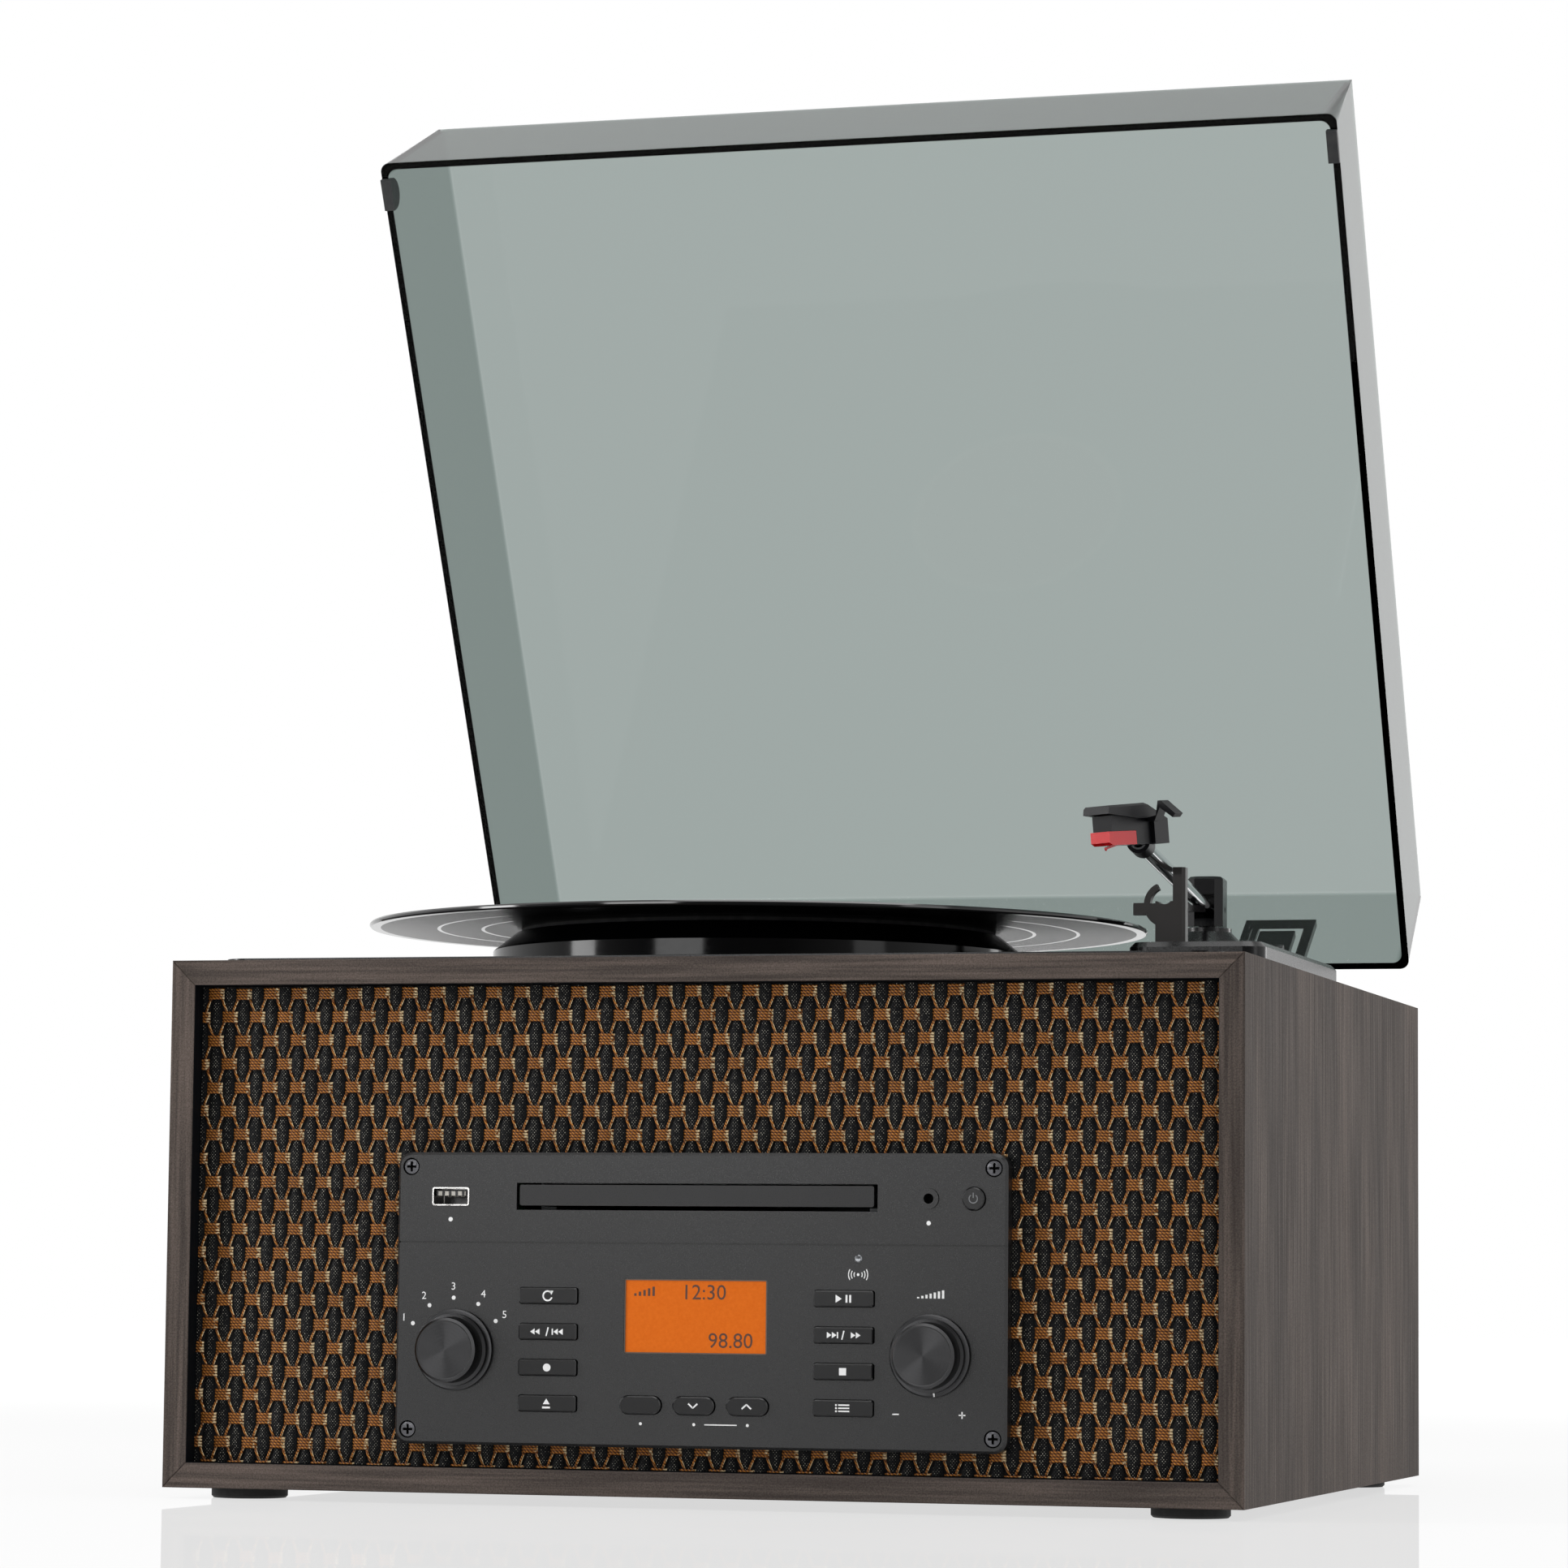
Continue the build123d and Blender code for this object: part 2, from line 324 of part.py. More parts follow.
# ---- cloth, baffle and speakers ----
window = Pos(FASCIA_X, FASCIA_Z) * Rectangle(FASCIA_WIDTH - 2 * FASCIA_LIP, FASCIA_HEIGHT - 2 * FASCIA_LIP)
for p in SCREWS:
    window -= Pos(*p) * Rectangle(SCREW_TAB, SCREW_TAB)
for p in SCREWS:
    window += Pos(*p) * Circle(SCREW_SHANK + SCREW_FIT)
cloth_face = Pos(0, MID_Z) * Rectangle(INNER_W - 2 * SEAT_GAP, INNER_H - 2 * SEAT_GAP) - window
save("grille_cloth", extrude(facing(BAFFLE_Y) * cloth_face, CLOTH))
speaker_x = INNER_W / 2 - SPEAKER_FRAME - SPEAKER_SIDE_GAP
speaker_places = [(-speaker_x, SPEAKER_Z), (speaker_x, SPEAKER_Z)]
holes = Sketch() + [Pos(*p) * Circle(SPEAKER_HOLE) for p in speaker_places]
save("grille_baffle", extrude(facing(INSIDE_Y) * (cloth_face - holes), BAFFLE))

basket = turned(
    (SPEAKER_HOLE - BASKET_SHEET, 0), (SPEAKER_FRAME, 0), (SPEAKER_FRAME, BASKET_SHEET),
    (SPEAKER_HOLE + BASKET_SEAT, BASKET_SHEET), (MAGNET_RADIUS, SPEAKER_DEPTH),
    (CONE_NECK + BASKET_SHEET, SPEAKER_DEPTH), (CONE_NECK + BASKET_SHEET, SPEAKER_DEPTH - BASKET_SHEET),
    (MAGNET_RADIUS - BASKET_SEAT, SPEAKER_DEPTH - BASKET_SHEET), (SPEAKER_HOLE - BASKET_SHEET / 3, BASKET_SHEET),
)
port = Box(PORT_LENGTH, PORT_WIDTH, SPEAKER_DEPTH - 2 * PORT_MARGIN)
port_reach = (SPEAKER_HOLE + MAGNET_RADIUS) / 2
basket_ports = [Rot(0, 0, 45 + 90 * i) * Pos(port_reach, 0, SPEAKER_DEPTH / 2 + 1) * port for i in range(4)]
magnet = Pos(0, 0, SPEAKER_DEPTH) * extrude(Circle(MAGNET_RADIUS), MAGNET_DEPTH)
roll_in, roll_mid = CONE_SURROUND - 2 * ROLL, CONE_SURROUND - ROLL
cone = turned(
    (0, CONE_DEEP - DUST_CAP_RISE), (DUST_CAP, CONE_DEEP - DUST_CAP_RISE / 2), (CONE_NECK, CONE_DEEP),
    (roll_in, ROLL_RISE + PAPER / 2), (roll_mid, PAPER / 2), (CONE_SURROUND, ROLL_RISE),
    (CONE_SURROUND, ROLL_RISE + PAPER), (roll_mid, 3 * PAPER / 2), (roll_in, ROLL_RISE + 3 * PAPER / 2),
    (CONE_NECK, SPEAKER_DEPTH), (0, SPEAKER_DEPTH),
)
seats = [behind(x, INSIDE_Y, z) for x, z in speaker_places]
save("speaker_frames", *[s * (basket - basket_ports) for s in seats], *[s * magnet for s in seats])
save("speaker_cones", *[s * cone for s in seats])

# ---- fascia ----
KEYS = {
    f"{side}_button_{i + 1}": (x, KEYS_TOP_Z - i * KEY_PITCH)
    for side, x in (("left", LEFT_KEYS_X), ("right", RIGHT_KEYS_X))
    for i in range(4)
}
PILLS = {f"oval_button_{i + 1}": (PILL_X + i * PILL_PITCH, PILL_Z) for i in range(3)}
KNOBS = {"source_knob": (-KNOB_X, KNOB_Z), "volume_knob": (KNOB_X, KNOB_Z)}
slot_width = TRAY_WIDTH + 2 * SLOT_GAP_SIDE
slot_z0, slot_z1 = TRAY_Z - TRAY_HEIGHT / 2 - SLOT_GAP_BOTTOM, TRAY_Z + TRAY_HEIGHT / 2 + SLOT_GAP_TOP
FASCIA_BACK = FASCIA_Y + FASCIA_WALL
key_face = RectangleRounded(KEY_LENGTH, KEY_HEIGHT, KEY_CORNER)
key_hole = offset(key_face, CONTROL_GAP)
pill_hole = SlotOverall(PILL_LENGTH + 2 * CONTROL_GAP, PILL_HEIGHT + 2 * CONTROL_GAP)
display_outline = RectangleRounded(DISPLAY_WIDTH, DISPLAY_HEIGHT, DISPLAY_CORNER)
cut_outs = (
    [Pos(*p) * key_hole for p in KEYS.values()]
    + [Pos(*p) * pill_hole for p in PILLS.values()]
    + [Pos(*p) * Circle(KNOB_SHAFT + CONTROL_GAP) for p in KNOBS.values()]
    + [Pos(POWER_X, SOCKET_Z) * Circle(POWER_RADIUS + CONTROL_GAP)]
    + [Pos(LED_X, LED_Z) * Circle(LED_RADIUS + SNUG)]
    + [Pos(JACK_X, SOCKET_Z) * Circle(JACK_RING + SNUG)]
    + [Pos(USB_X, SOCKET_Z) * Rectangle(USB_WIDTH + 2 * SNUG, USB_HEIGHT + 2 * SNUG)]
    + [Pos(DISPLAY_X, DISPLAY_Z) * offset(display_outline, SNUG)]
    + [Pos(TRAY_X, (slot_z0 + slot_z1) / 2) * Rectangle(slot_width, slot_z1 - slot_z0)]
    + [Pos(*p) * Circle(SCREW_SHANK + SCREW_FIT) for p in SCREWS]
)
outline = RectangleRounded(FASCIA_WIDTH, FASCIA_HEIGHT, FASCIA_CORNER)
fascia = extrude(facing(CLOTH_Y) * Pos(FASCIA_X, FASCIA_Z) * outline, FASCIA_DEPTH)
fascia = chamfer(fascia.faces().sort_by(Axis.Y)[0].edges(), FASCIA_BEVEL)
hollow = offset(outline, -FASCIA_WALL)
fascia -= extrude(facing(CLOTH_Y) * Pos(FASCIA_X, FASCIA_Z) * hollow, FASCIA_DEPTH - FASCIA_WALL)
for p in SCREWS:
    fascia += front_round(*p, SCREW_HEAD + SCREW_BOSS, FASCIA_Y + 1, CLOTH_Y)
    fascia -= front_round(*p, SCREW_HEAD + SCREW_FIT, FASCIA_Y - 1, FASCIA_Y + HEAD_RECESS)
fascia -= extrude(facing(CLOTH_Y) * (Sketch() + cut_outs), 2 * FASCIA_DEPTH)
seam_length = FASCIA_WIDTH - 2 * FASCIA_BEVEL
fascia -= front_box(FASCIA_X, SEAM_Z, seam_length, SEAM_WIDTH, FASCIA_Y - 1, FASCIA_Y + SEAM_DEEP)
save("fascia", fascia)

# ---- display, lamp, sockets and the board that carries the controls ----
display = extrude(display_outline, BOARD_Y - FASCIA_Y - DISPLAY_SUNK)
save("display_module", facing(BOARD_Y) * Pos(DISPLAY_X, DISPLAY_Z) * display)
led_length = BOARD_Y - FASCIA_Y
led = turned(
    (0, 0), (LED_RADIUS, 0), (LED_RADIUS, led_length), (LED_RADIUS * 0.7, led_length + LED_DOME * 0.7),
    (0, led_length + LED_DOME),
)
save("status_lamp", facing(BOARD_Y) * Pos(LED_X, LED_Z) * led)
usb = front_box(USB_X, SOCKET_Z, USB_WIDTH, USB_HEIGHT, FASCIA_Y - USB_PROUD, BOARD_Y, USB_CORNER)
usb -= front_box(
    USB_X, SOCKET_Z, USB_WIDTH - 2 * USB_WALL, USB_HEIGHT - 2 * USB_WALL, FASCIA_Y - 1, FASCIA_Y + USB_DEEP,
    USB_CORNER - USB_WALL / 2,
)
tongue_y0, tongue_y1 = FASCIA_Y + TONGUE_BACK, FASCIA_Y + USB_DEEP + 1
usb += front_box(USB_X, SOCKET_Z + TONGUE_UP, TONGUE_WIDTH, TONGUE, tongue_y0, tongue_y1)
save("usb_socket", usb)
jack_length = BOARD_Y - FASCIA_Y + JACK_PROUD
jack = extrude(Circle(JACK_RING), jack_length) - Pos(0, 0, JACK_END) * extrude(Circle(JACK_BORE), jack_length)
save("aux_socket", facing(BOARD_Y) * Pos(JACK_X, SOCKET_Z) * jack)

board_bottom = FASCIA_Z - FASCIA_HEIGHT / 2 + FASCIA_LIP + PCB_MARGIN
board_top = slot_z0 - PCB_MARGIN
board_half = FASCIA_WIDTH / 2 - FASCIA_LIP - PCB_SIDE
wing_top = SOCKET_Z + PCB_WING_UP
board_middle = (board_bottom + board_top) / 2
board_face = Pos(FASCIA_X, board_middle) * Rectangle(2 * board_half, board_top - board_bottom)
for side in (-1, 1):
    wing_middle = FASCIA_X + side * (board_half - PCB_WING / 2)
    wing = Rectangle(PCB_WING, wing_top - board_bottom)
    board_face += Pos(wing_middle, (wing_top + board_bottom) / 2) * wing
control_board = extrude(facing(BOARD_Y + PCB) * board_face, PCB)
for side in (-1, 1):
    for z in (board_bottom + PCB_POST_INSET, board_top - PCB_POST_INSET):
        post_x = FASCIA_X + side * (board_half - PCB_POST)
        control_board += front_round(post_x, z, PCB_POST, FASCIA_BACK, BOARD_Y)
save("control_board", control_board)

encoder = extrude(Circle(ENCODER / 2) - Circle(KNOB_SHAFT + RUNNING), BOARD_Y - FASCIA_BACK - 1)
save("rotary_encoders", *[facing(BOARD_Y) * Pos(*p) * encoder for p in KNOBS.values()])

# ---- knobs and buttons ----
shaft_length = BOARD_Y - FASCIA_Y - 1
face_z = KNOB_HEIGHT - FACE_SUNK
knob = turned(
    (0, -shaft_length), (KNOB_SHAFT, -shaft_length), (KNOB_SHAFT, CONTROL_GAP), (KNOB_FLANGE, CONTROL_GAP),
    (KNOB_FLANGE, FLANGE_EDGE), (KNOB_FLANGE - FLANGE_TOP + FLANGE_EDGE, FLANGE_TOP), (KNOB_SKIRT, FLANGE_TOP),
    (KNOB_SKIRT, SKIRT_TOP), (KNOB_RADIUS + FACE_RIM, SKIRT_TOP + FACE_RIM),
    (KNOB_RADIUS, KNOB_HEIGHT - KNOB_BEVEL), (KNOB_RADIUS - KNOB_BEVEL, KNOB_HEIGHT),
    (KNOB_RADIUS - KNOB_BEVEL - FACE_RIM, face_z), (0, face_z),
)
tick = Pos(0, -KNOB_FLANGE, FLANGE_TOP) * Box(TICK_WIDTH, 2 * TICK_LENGTH, 2 * TICK_DEEP)
tick = Rot(0, 0, TICK_ANGLE) * tick
save("source_knob", facing(FASCIA_Y) * Pos(*KNOBS["source_knob"]) * knob)
save("volume_knob", facing(FASCIA_Y) * Pos(*KNOBS["volume_knob"]) * (knob - tick))


def button(face, bevel):
    """A cap that fills its hole, a rim that keeps it behind the fascia, and a stem to its switch."""
    cap = extrude(face, FASCIA_WALL + KEY_PROUD)
    cap = chamfer(cap.faces().sort_by(Axis.Z)[-1].edges(), bevel)
    rim = extrude(offset(face, BUTTON_RIM, kind=Kind.INTERSECTION), -BUTTON_RIM_THICK)
    stem = extrude(Circle(BUTTON_STEM), -(BOARD_Y - FASCIA_BACK - KEY_TRAVEL - 2 * CONTROL_GAP))
    return Pos(0, 0, -CONTROL_GAP) * (cap + rim + stem)


key = button(key_face, KEY_BEVEL)
pill = button(SlotOverall(PILL_LENGTH, PILL_HEIGHT), KEY_BEVEL)
power = button(Circle(POWER_RADIUS), KEY_BEVEL)
for form, places in ((key, KEYS), (pill, PILLS), (power, {"power_button": (POWER_X, SOCKET_Z)})):
    for name, p in places.items():
        save(name, facing(FASCIA_BACK) * Pos(*p) * form)

# ---- disc drive and its tray ----
tray_z0 = TRAY_Z - TRAY_HEIGHT / 2
tray_z1 = tray_z0 + TRAY_SHEET
tray_half = TRAY_WIDTH / 2 - TRAY_INSET
tray_end = FASCIA_BACK + TRAY_TRAVEL + TRAY_HELD
tray = front_box(
    TRAY_X, TRAY_Z, TRAY_WIDTH, TRAY_HEIGHT, FASCIA_Y - TRAY_PROUD, FASCIA_BACK + TRAY_FRONT, TRAY_CORNER
)
tray += block(TRAY_X - tray_half, TRAY_X + tray_half, FASCIA_BACK, tray_end, tray_z0, tray_z1)
disc_y = FRONT + FASCIA_BACK + DISC_RADIUS + DISC_MARGIN
tray -= Pos(TRAY_X, disc_y, tray_z1) * Cylinder(DISC_RADIUS, 2 * DISC_RECESS)
tray -= Pos(TRAY_X, disc_y + DISC_WINDOW_BACK, tray_z0) * Cylinder(DISC_WINDOW, 4 * TRAY_SHEET)
save("disc_tray", tray)

drive_half = tray_half + TRAY_SLIDE + DRIVE_WALL
drive_y0, drive_y1 = BOARD_Y + PCB + 1.0, tray_end + DRIVE_END
drive_z0, drive_z1 = tray_z0 - DRIVE_BELOW, tray_z1 + 1.0 + TRAY_SLIDE + DRIVE_WALL + DRIVE_ABOVE
drive = block(TRAY_X - drive_half, TRAY_X + drive_half, drive_y0, drive_y1, drive_z0, drive_z1)
drive -= block(
    TRAY_X - drive_half + DRIVE_WALL, TRAY_X + drive_half - DRIVE_WALL, drive_y0 - 1, drive_y1 - DRIVE_WALL,
    drive_z0 + DRIVE_WALL, drive_z1 - DRIVE_WALL,
)
rail_z1 = tray_z0 - RAIL_GAP


def drive_side(side, y0, y1, z0, z1, outer, inner):
    """A block against one side wall of the drive, between two distances from its middle."""
    x0, x1 = sorted((TRAY_X + side * outer, TRAY_X + side * inner))
    return block(x0, x1, y0, y1, z0, z1)


for side in (-1, 1):
    inside = drive_half - DRIVE_WALL
    rail_inner = tray_half - RAIL_GRIP
    drive += drive_side(side, drive_y0, drive_y1 - DRIVE_WALL, rail_z1 - RAIL, rail_z1, inside, rail_inner)
    for y in (drive_y0, drive_y1 - LEG_WIDTH):
        y1 = y + LEG_WIDTH
        drive += drive_side(side, y, y1, FLOOR_Z, drive_z0 + 1, drive_half, inside)
        drive += drive_side(side, y, y1, FLOOR_Z, FLOOR_Z + DRIVE_WALL, drive_half, drive_half - TOE)
save("disc_drive", drive)

# ---- main board, on posts that stand on the bottom board ----
main_y1 = REAR_Y - MAIN_BEHIND
main_y0 = main_y1 - MAIN_DEPTH
main_z0 = FLOOR_Z + MAIN_POST
main_z1 = main_z0 + PCB
main_x0, main_x1 = MAIN_X - MAIN_WIDTH / 2, MAIN_X + MAIN_WIDTH / 2
main_board = block(main_x0, main_x1, main_y0, main_y1, main_z0, main_z1)
for x in (main_x0 + MAIN_POST_INSET, main_x1 - MAIN_POST_INSET):
    for y in (main_y0 + MAIN_POST_INSET, main_y1 - MAIN_POST_INSET):
        main_board += Pos(x, FRONT + y, FLOOR_Z) * extrude(Circle(MAIN_POST_RADIUS), MAIN_POST)
sink_x0, sink_y = SINK_X - SINK_WIDTH / 2, main_y0 + SINK_FRONT
heat_sink = block(sink_x0, sink_x0 + SINK_WIDTH, sink_y, sink_y + SINK_BACK, main_z1, main_z1 + SINK_HEIGHT)
for i in range(FIN_COUNT):
    fin_x = sink_x0 + i * (SINK_WIDTH - FIN) / (FIN_COUNT - 1)
    fin_y = sink_y + SINK_BACK
    heat_sink += block(fin_x, fin_x + FIN, fin_y, fin_y + FIN_DEPTH, main_z1, main_z1 + SINK_HEIGHT)
capacitor = extrude(Circle(CAPACITOR_RADIUS), CAPACITOR_HEIGHT)
capacitors_y = FRONT + main_y0 + CAPACITORS_BACK
capacitors = [Pos(CAPACITORS_X + i * CAPACITOR_PITCH, capacitors_y, main_z1) * capacitor for i in range(3)]
save("main_board", main_board, heat_sink, *capacitors)

# ---- transformer ----
on_floor = (Align.CENTER, Align.CENTER, Align.MIN)
transformer_seat = Pos(TRANSFORMER_X, FRONT + TRANSFORMER_Y, FLOOR_Z)
core = transformer_seat * Box(CORE_WIDTH, CORE_DEPTH, CORE_HEIGHT, align=on_floor)
coil = transformer_seat * Pos(0, 0, CORE_HEIGHT / 2) * Box(CORE_WIDTH / 2, CORE_DEPTH + 2 * COIL, COIL_HEIGHT)
lugs = transformer_seat * Box(CORE_WIDTH + 2 * LUG, CORE_DEPTH, LUG_SHEET, align=on_floor)
save("transformer", (core + lugs) - coil, fillet(coil.edges().filter_by(Axis.Z), COIL_CORNER))

# ---- record deck: sheet with a raised island for the arm ----
deck_place = Pos(0, FRONT + DECK_FRONT + DECK_DEPTH / 2, TOP)
deck = deck_place * extrude(RectangleRounded(DECK_WIDTH, DECK_DEPTH, DECK_CORNER), DECK_SHEET)
island_place = Pos((ISLAND_LEFT + ISLAND_RIGHT) / 2, FRONT + (ISLAND_FRONT + ISLAND_BACK) / 2, TOP)
island_plan = RectangleRounded(ISLAND_RIGHT - ISLAND_LEFT, ISLAND_BACK - ISLAND_FRONT, ISLAND_CORNER)
island = extrude(island_plan, ISLAND_HEIGHT)
island = chamfer(island.faces().sort_by(Axis.Z)[-1].edges(), ISLAND_CHAMFER)
island_hollow = extrude(offset(island_plan, -ISLAND_WALL), ISLAND_HEIGHT - ISLAND_WALL)
deck = (deck + island_place * island) - island_place * island_hollow
deck -= Pos(*SPINDLE, TOP) * Cylinder(BEARING_RADIUS, ISLAND_HEIGHT)
deck -= Pos(*MOTOR, TOP) * Cylinder(PULLEY_FLANGE + PULLEY_ROOM, ISLAND_HEIGHT)
deck -= Pos(*SELECTOR, TOP - 1) * extrude(SlotOverall(SLOT_LENGTH, SLOT_WIDTH), DECK_SHEET + 2)


def around_arm(heading, reach):
    """A place round the arm's pivot. Heading 0 is straight forwards and positive is to the right."""
    return ARM[0] + reach * sin(radians(heading)), ARM[1] - reach * cos(radians(heading))


LIFT = around_arm(-LIFT_INWARD, LIFT_REACH)
deck -= Pos(*LIFT, ISLAND_Z) * Cylinder(LIFT_ROD + RUNNING, 2 * ISLAND_HEIGHT)
deck -= Pos(ARM[0], ARM[1], ISLAND_Z) * Cylinder(YAW_PIN + BUSH + RUNNING, ISLAND_HEIGHT)
CUE_Z = ISLAND_Z - ISLAND_WALL / 2
cue_half = CUE_BLADE / 2 + CUE_ROOM
cue_y0, cue_y1 = CUE_Y - CUE_ROOM_FRONT, CUE_Y + CUE_LENGTH + CUE_ROOM_BACK
cue_slot = block(CUE_X - cue_half, CUE_X + cue_half, cue_y0, cue_y1, TOP, ISLAND_Z + 1)
cue_bore = Pos(CUE_X, FRONT + CUE_Y, CUE_Z) * Rot(0, 90, 0) * Cylinder(CUE_PIN + RUNNING, CUE_PIN_LENGTH + 1)
deck -= cue_slot + cue_bore
save("turntable_deck", deck)

# ---- arm base: a cone on the plinth, bored for the upright pin of the bearing housing ----
pin_bore, bush_z = YAW_PIN + RUNNING, ISLAND_Z - ISLAND_WALL
base = turned(
    (pin_bore, bush_z), (YAW_PIN + BUSH, bush_z), (YAW_PIN + BUSH, ISLAND_Z), (BASE_BOTTOM, ISLAND_Z),
    (BASE_BOTTOM, ISLAND_Z + BASE_FOOT), (BASE_TOP, ISLAND_Z + BASE_HEIGHT - BASE_LAND),
    (BASE_TOP, ISLAND_Z + BASE_HEIGHT), (pin_bore, ISLAND_Z + BASE_HEIGHT),
)
save("arm_base", Pos(ARM[0], ARM[1]) * base)

# ---- bearing housing: turns on its pin and carries the tube's trunnions ----
arm_turn = Pos(*ARM) * Rot(0, 0, ARM_OUT)
gimbal_plan = Rectangle(GIMBAL_WIDTH, GIMBAL_DEPTH)
gimbal_plan = chamfer(gimbal_plan.vertices(), GIMBAL_CHAMFER)
gimbal = Pos(0, 0, -GIMBAL_BELOW) * extrude(gimbal_plan, GIMBAL_BELOW + GIMBAL_ABOVE)
gimbal = chamfer(gimbal.faces().sort_by(Axis.Z)[-1].edges(), GIMBAL_BEVEL)
room_half, room_back = ARM_RADIUS + TUBE_ROOM, ARM_TAIL + TUBE_ROOM
gimbal -= Pos(0, room_back - GIMBAL_DEPTH, SWING_ROOM) * Box(
    2 * room_half, 2 * GIMBAL_DEPTH, 2 * (room_half + SWING_ROOM)
)
gimbal -= Rot(0, 90, 0) * Cylinder(TRUNNION + RUNNING, 2 * GIMBAL_WIDTH)
gimbal += Pos(0, 0, -GIMBAL_BELOW - YAW_PIN_LENGTH) * extrude(Circle(YAW_PIN), YAW_PIN_LENGTH)
save("arm_gimbal", arm_turn * gimbal)

# ---- arm tube; local z runs along the arm, x to its right and y upwards ----
out, rise = radians(ARM_OUT), radians(ARM_RISE)
ALONG = Plane(
    origin=ARM, x_dir=(cos(out), sin(out), 0), z_dir=(sin(out) * cos(rise), -cos(out) * cos(rise), sin(rise))
)
arm_tube = Pos(0, 0, -ARM_TAIL) * extrude(Circle(ARM_RADIUS), ARM_TAIL + ARM_LENGTH)
arm_tube -= Pos(0, 0, TUBE_SOLID) * extrude(Circle(ARM_RADIUS - ARM_WALL), ARM_LENGTH)
arm_tube += Rot(0, 90, 0) * Cylinder(TRUNNION, GIMBAL_WIDTH - 2 * TRUNNION_SHY)
save("arm_tube", ALONG * arm_tube)

# ---- headshell, cartridge and stylus; local z runs forwards along the headshell ----
HEAD = ALONG * Pos(0, 0, ARM_LENGTH + HEAD_AHEAD) * Rot(0, -HEAD_OFFSET, 0) * Rot(HEAD_NOD, 0, 0)
SIDE = Plane(origin=(0, 0, 0), x_dir=(0, 0, 1), z_dir=(-1, 0, 0))  # local x forwards, local y up


def from_side(half_width, *points):
    """A solid from its side view, as (forwards, up) points, as wide as twice half_width."""
    return extrude(SIDE * make_face(Polyline(*points, close=True)), half_width, both=True)


heel = CARTRIDGE_REAR - SEAT_GAP
shell = from_side(
    SHELL_HALF, (SHELL_FRONT, SHELL_NOSE_UNDER), (SHELL_FRONT - SHELL_BEVEL, SHELL_NOSE_UNDER + SHELL_NOSE),
    (0, SHELL_PEAK), (SHELL_REAR, SHELL_PEAK - SHELL_SLOPE), (SHELL_REAR, SHELL_HEEL), (heel, SHELL_HEEL),
    (heel, SHELL_UNDER), (-CARTRIDGE_REAR, SHELL_UNDER),
)
shell = chamfer(shell.edges().filter_by(Axis.X, reverse=True).group_by(Axis.Y)[-1], SHELL_BEVEL)
pocket_half = CARTRIDGE_HALF + SEAT_GAP
pocket_roof = SHELL_PEAK - SHELL_NOSE - SHELL_ROOF
pocket_front = SHELL_FRONT - 2 * SHELL_WALL
shell -= from_side(pocket_half, (heel, 0), (pocket_front, 0), (pocket_front, pocket_roof), (heel, pocket_roof))
tab_root, tab_low = SHELL_HALF - SHELL_WALL / 2, SHELL_UNDER - LIFT_TAB / 2
lift_tab = Polyline(
    (tab_root, SHELL_UNDER), (SHELL_HALF + 2.5 * LIFT_TAB, SHELL_UNDER + LIFT_TAB / 2),
    (LIFT_TAB_X - LIFT_TAB, LIFT_TAB_TOP), (LIFT_TAB_X, LIFT_TAB_TOP), (LIFT_TAB_OUT, tab_low + LIFT_TAB),
    (LIFT_TAB_OUT - LIFT_TAB, tab_low), (LIFT_TAB_X - LIFT_TAB / 2, LIFT_TAB_TOP - 2 * LIFT_TAB),
    (SHELL_HALF + 2 * LIFT_TAB, SHELL_UNDER - LIFT_TAB), (tab_root, SHELL_UNDER - LIFT_TAB), close=True,
)
finger_lift = Pos(0, 0, LIFT_TAB_AT - LIFT_TAB_WIDTH / 2) * extrude(make_face(lift_tab), LIFT_TAB_WIDTH)
collar = Pos(0, 0, ARM_LENGTH - COLLAR_LENGTH) * extrude(Circle(COLLAR), COLLAR_LENGTH)
tube_bore = extrude(Circle(ARM_RADIUS), ARM_LENGTH)
save("headshell", HEAD * (shell + finger_lift) + ALONG * collar - ALONG * tube_bore)
ledge, step = CARRIER_TOP + CARRIER_FIT, CARRIER_REAR - CARRIER_FIT
cartridge = from_side(
    CARTRIDGE_HALF, (CARTRIDGE_FRONT, ledge), (CARTRIDGE_FRONT, pocket_roof - CARRIER_FIT),
    (CARTRIDGE_REAR, pocket_roof - CARRIER_FIT), (CARTRIDGE_REAR, CARTRIDGE_UNDER),
    (step, CARTRIDGE_UNDER), (step, ledge),
)
save("cartridge", HEAD * cartridge)
carrier = from_side(
    CARTRIDGE_HALF, (CARRIER_FRONT, CARRIER_TOP), (CARRIER_REAR, CARRIER_TOP), (CARRIER_REAR, CARTRIDGE_UNDER),
    (CARRIER_FRONT - CARRIER_RAKE, CARTRIDGE_UNDER), (CARRIER_FRONT, CARTRIDGE_UNDER + CARRIER_RAKE / 2),
)
root, thick = CARTRIDGE_UNDER + CANTILEVER, 2 * CANTILEVER
cantilever = from_side(
    CANTILEVER, (STYLUS_AT - CANTILEVER_LENGTH, root), (STYLUS_AT - thick, STYLUS_UNDER + thick),
    (STYLUS_AT, STYLUS_UNDER), (STYLUS_AT + thick, STYLUS_UNDER + thick),
    (STYLUS_AT + thick, STYLUS_UNDER + 2 * thick), (STYLUS_AT - CANTILEVER_LENGTH + thick, root + thick),
)
save("stylus", HEAD * (carrier + cantilever))

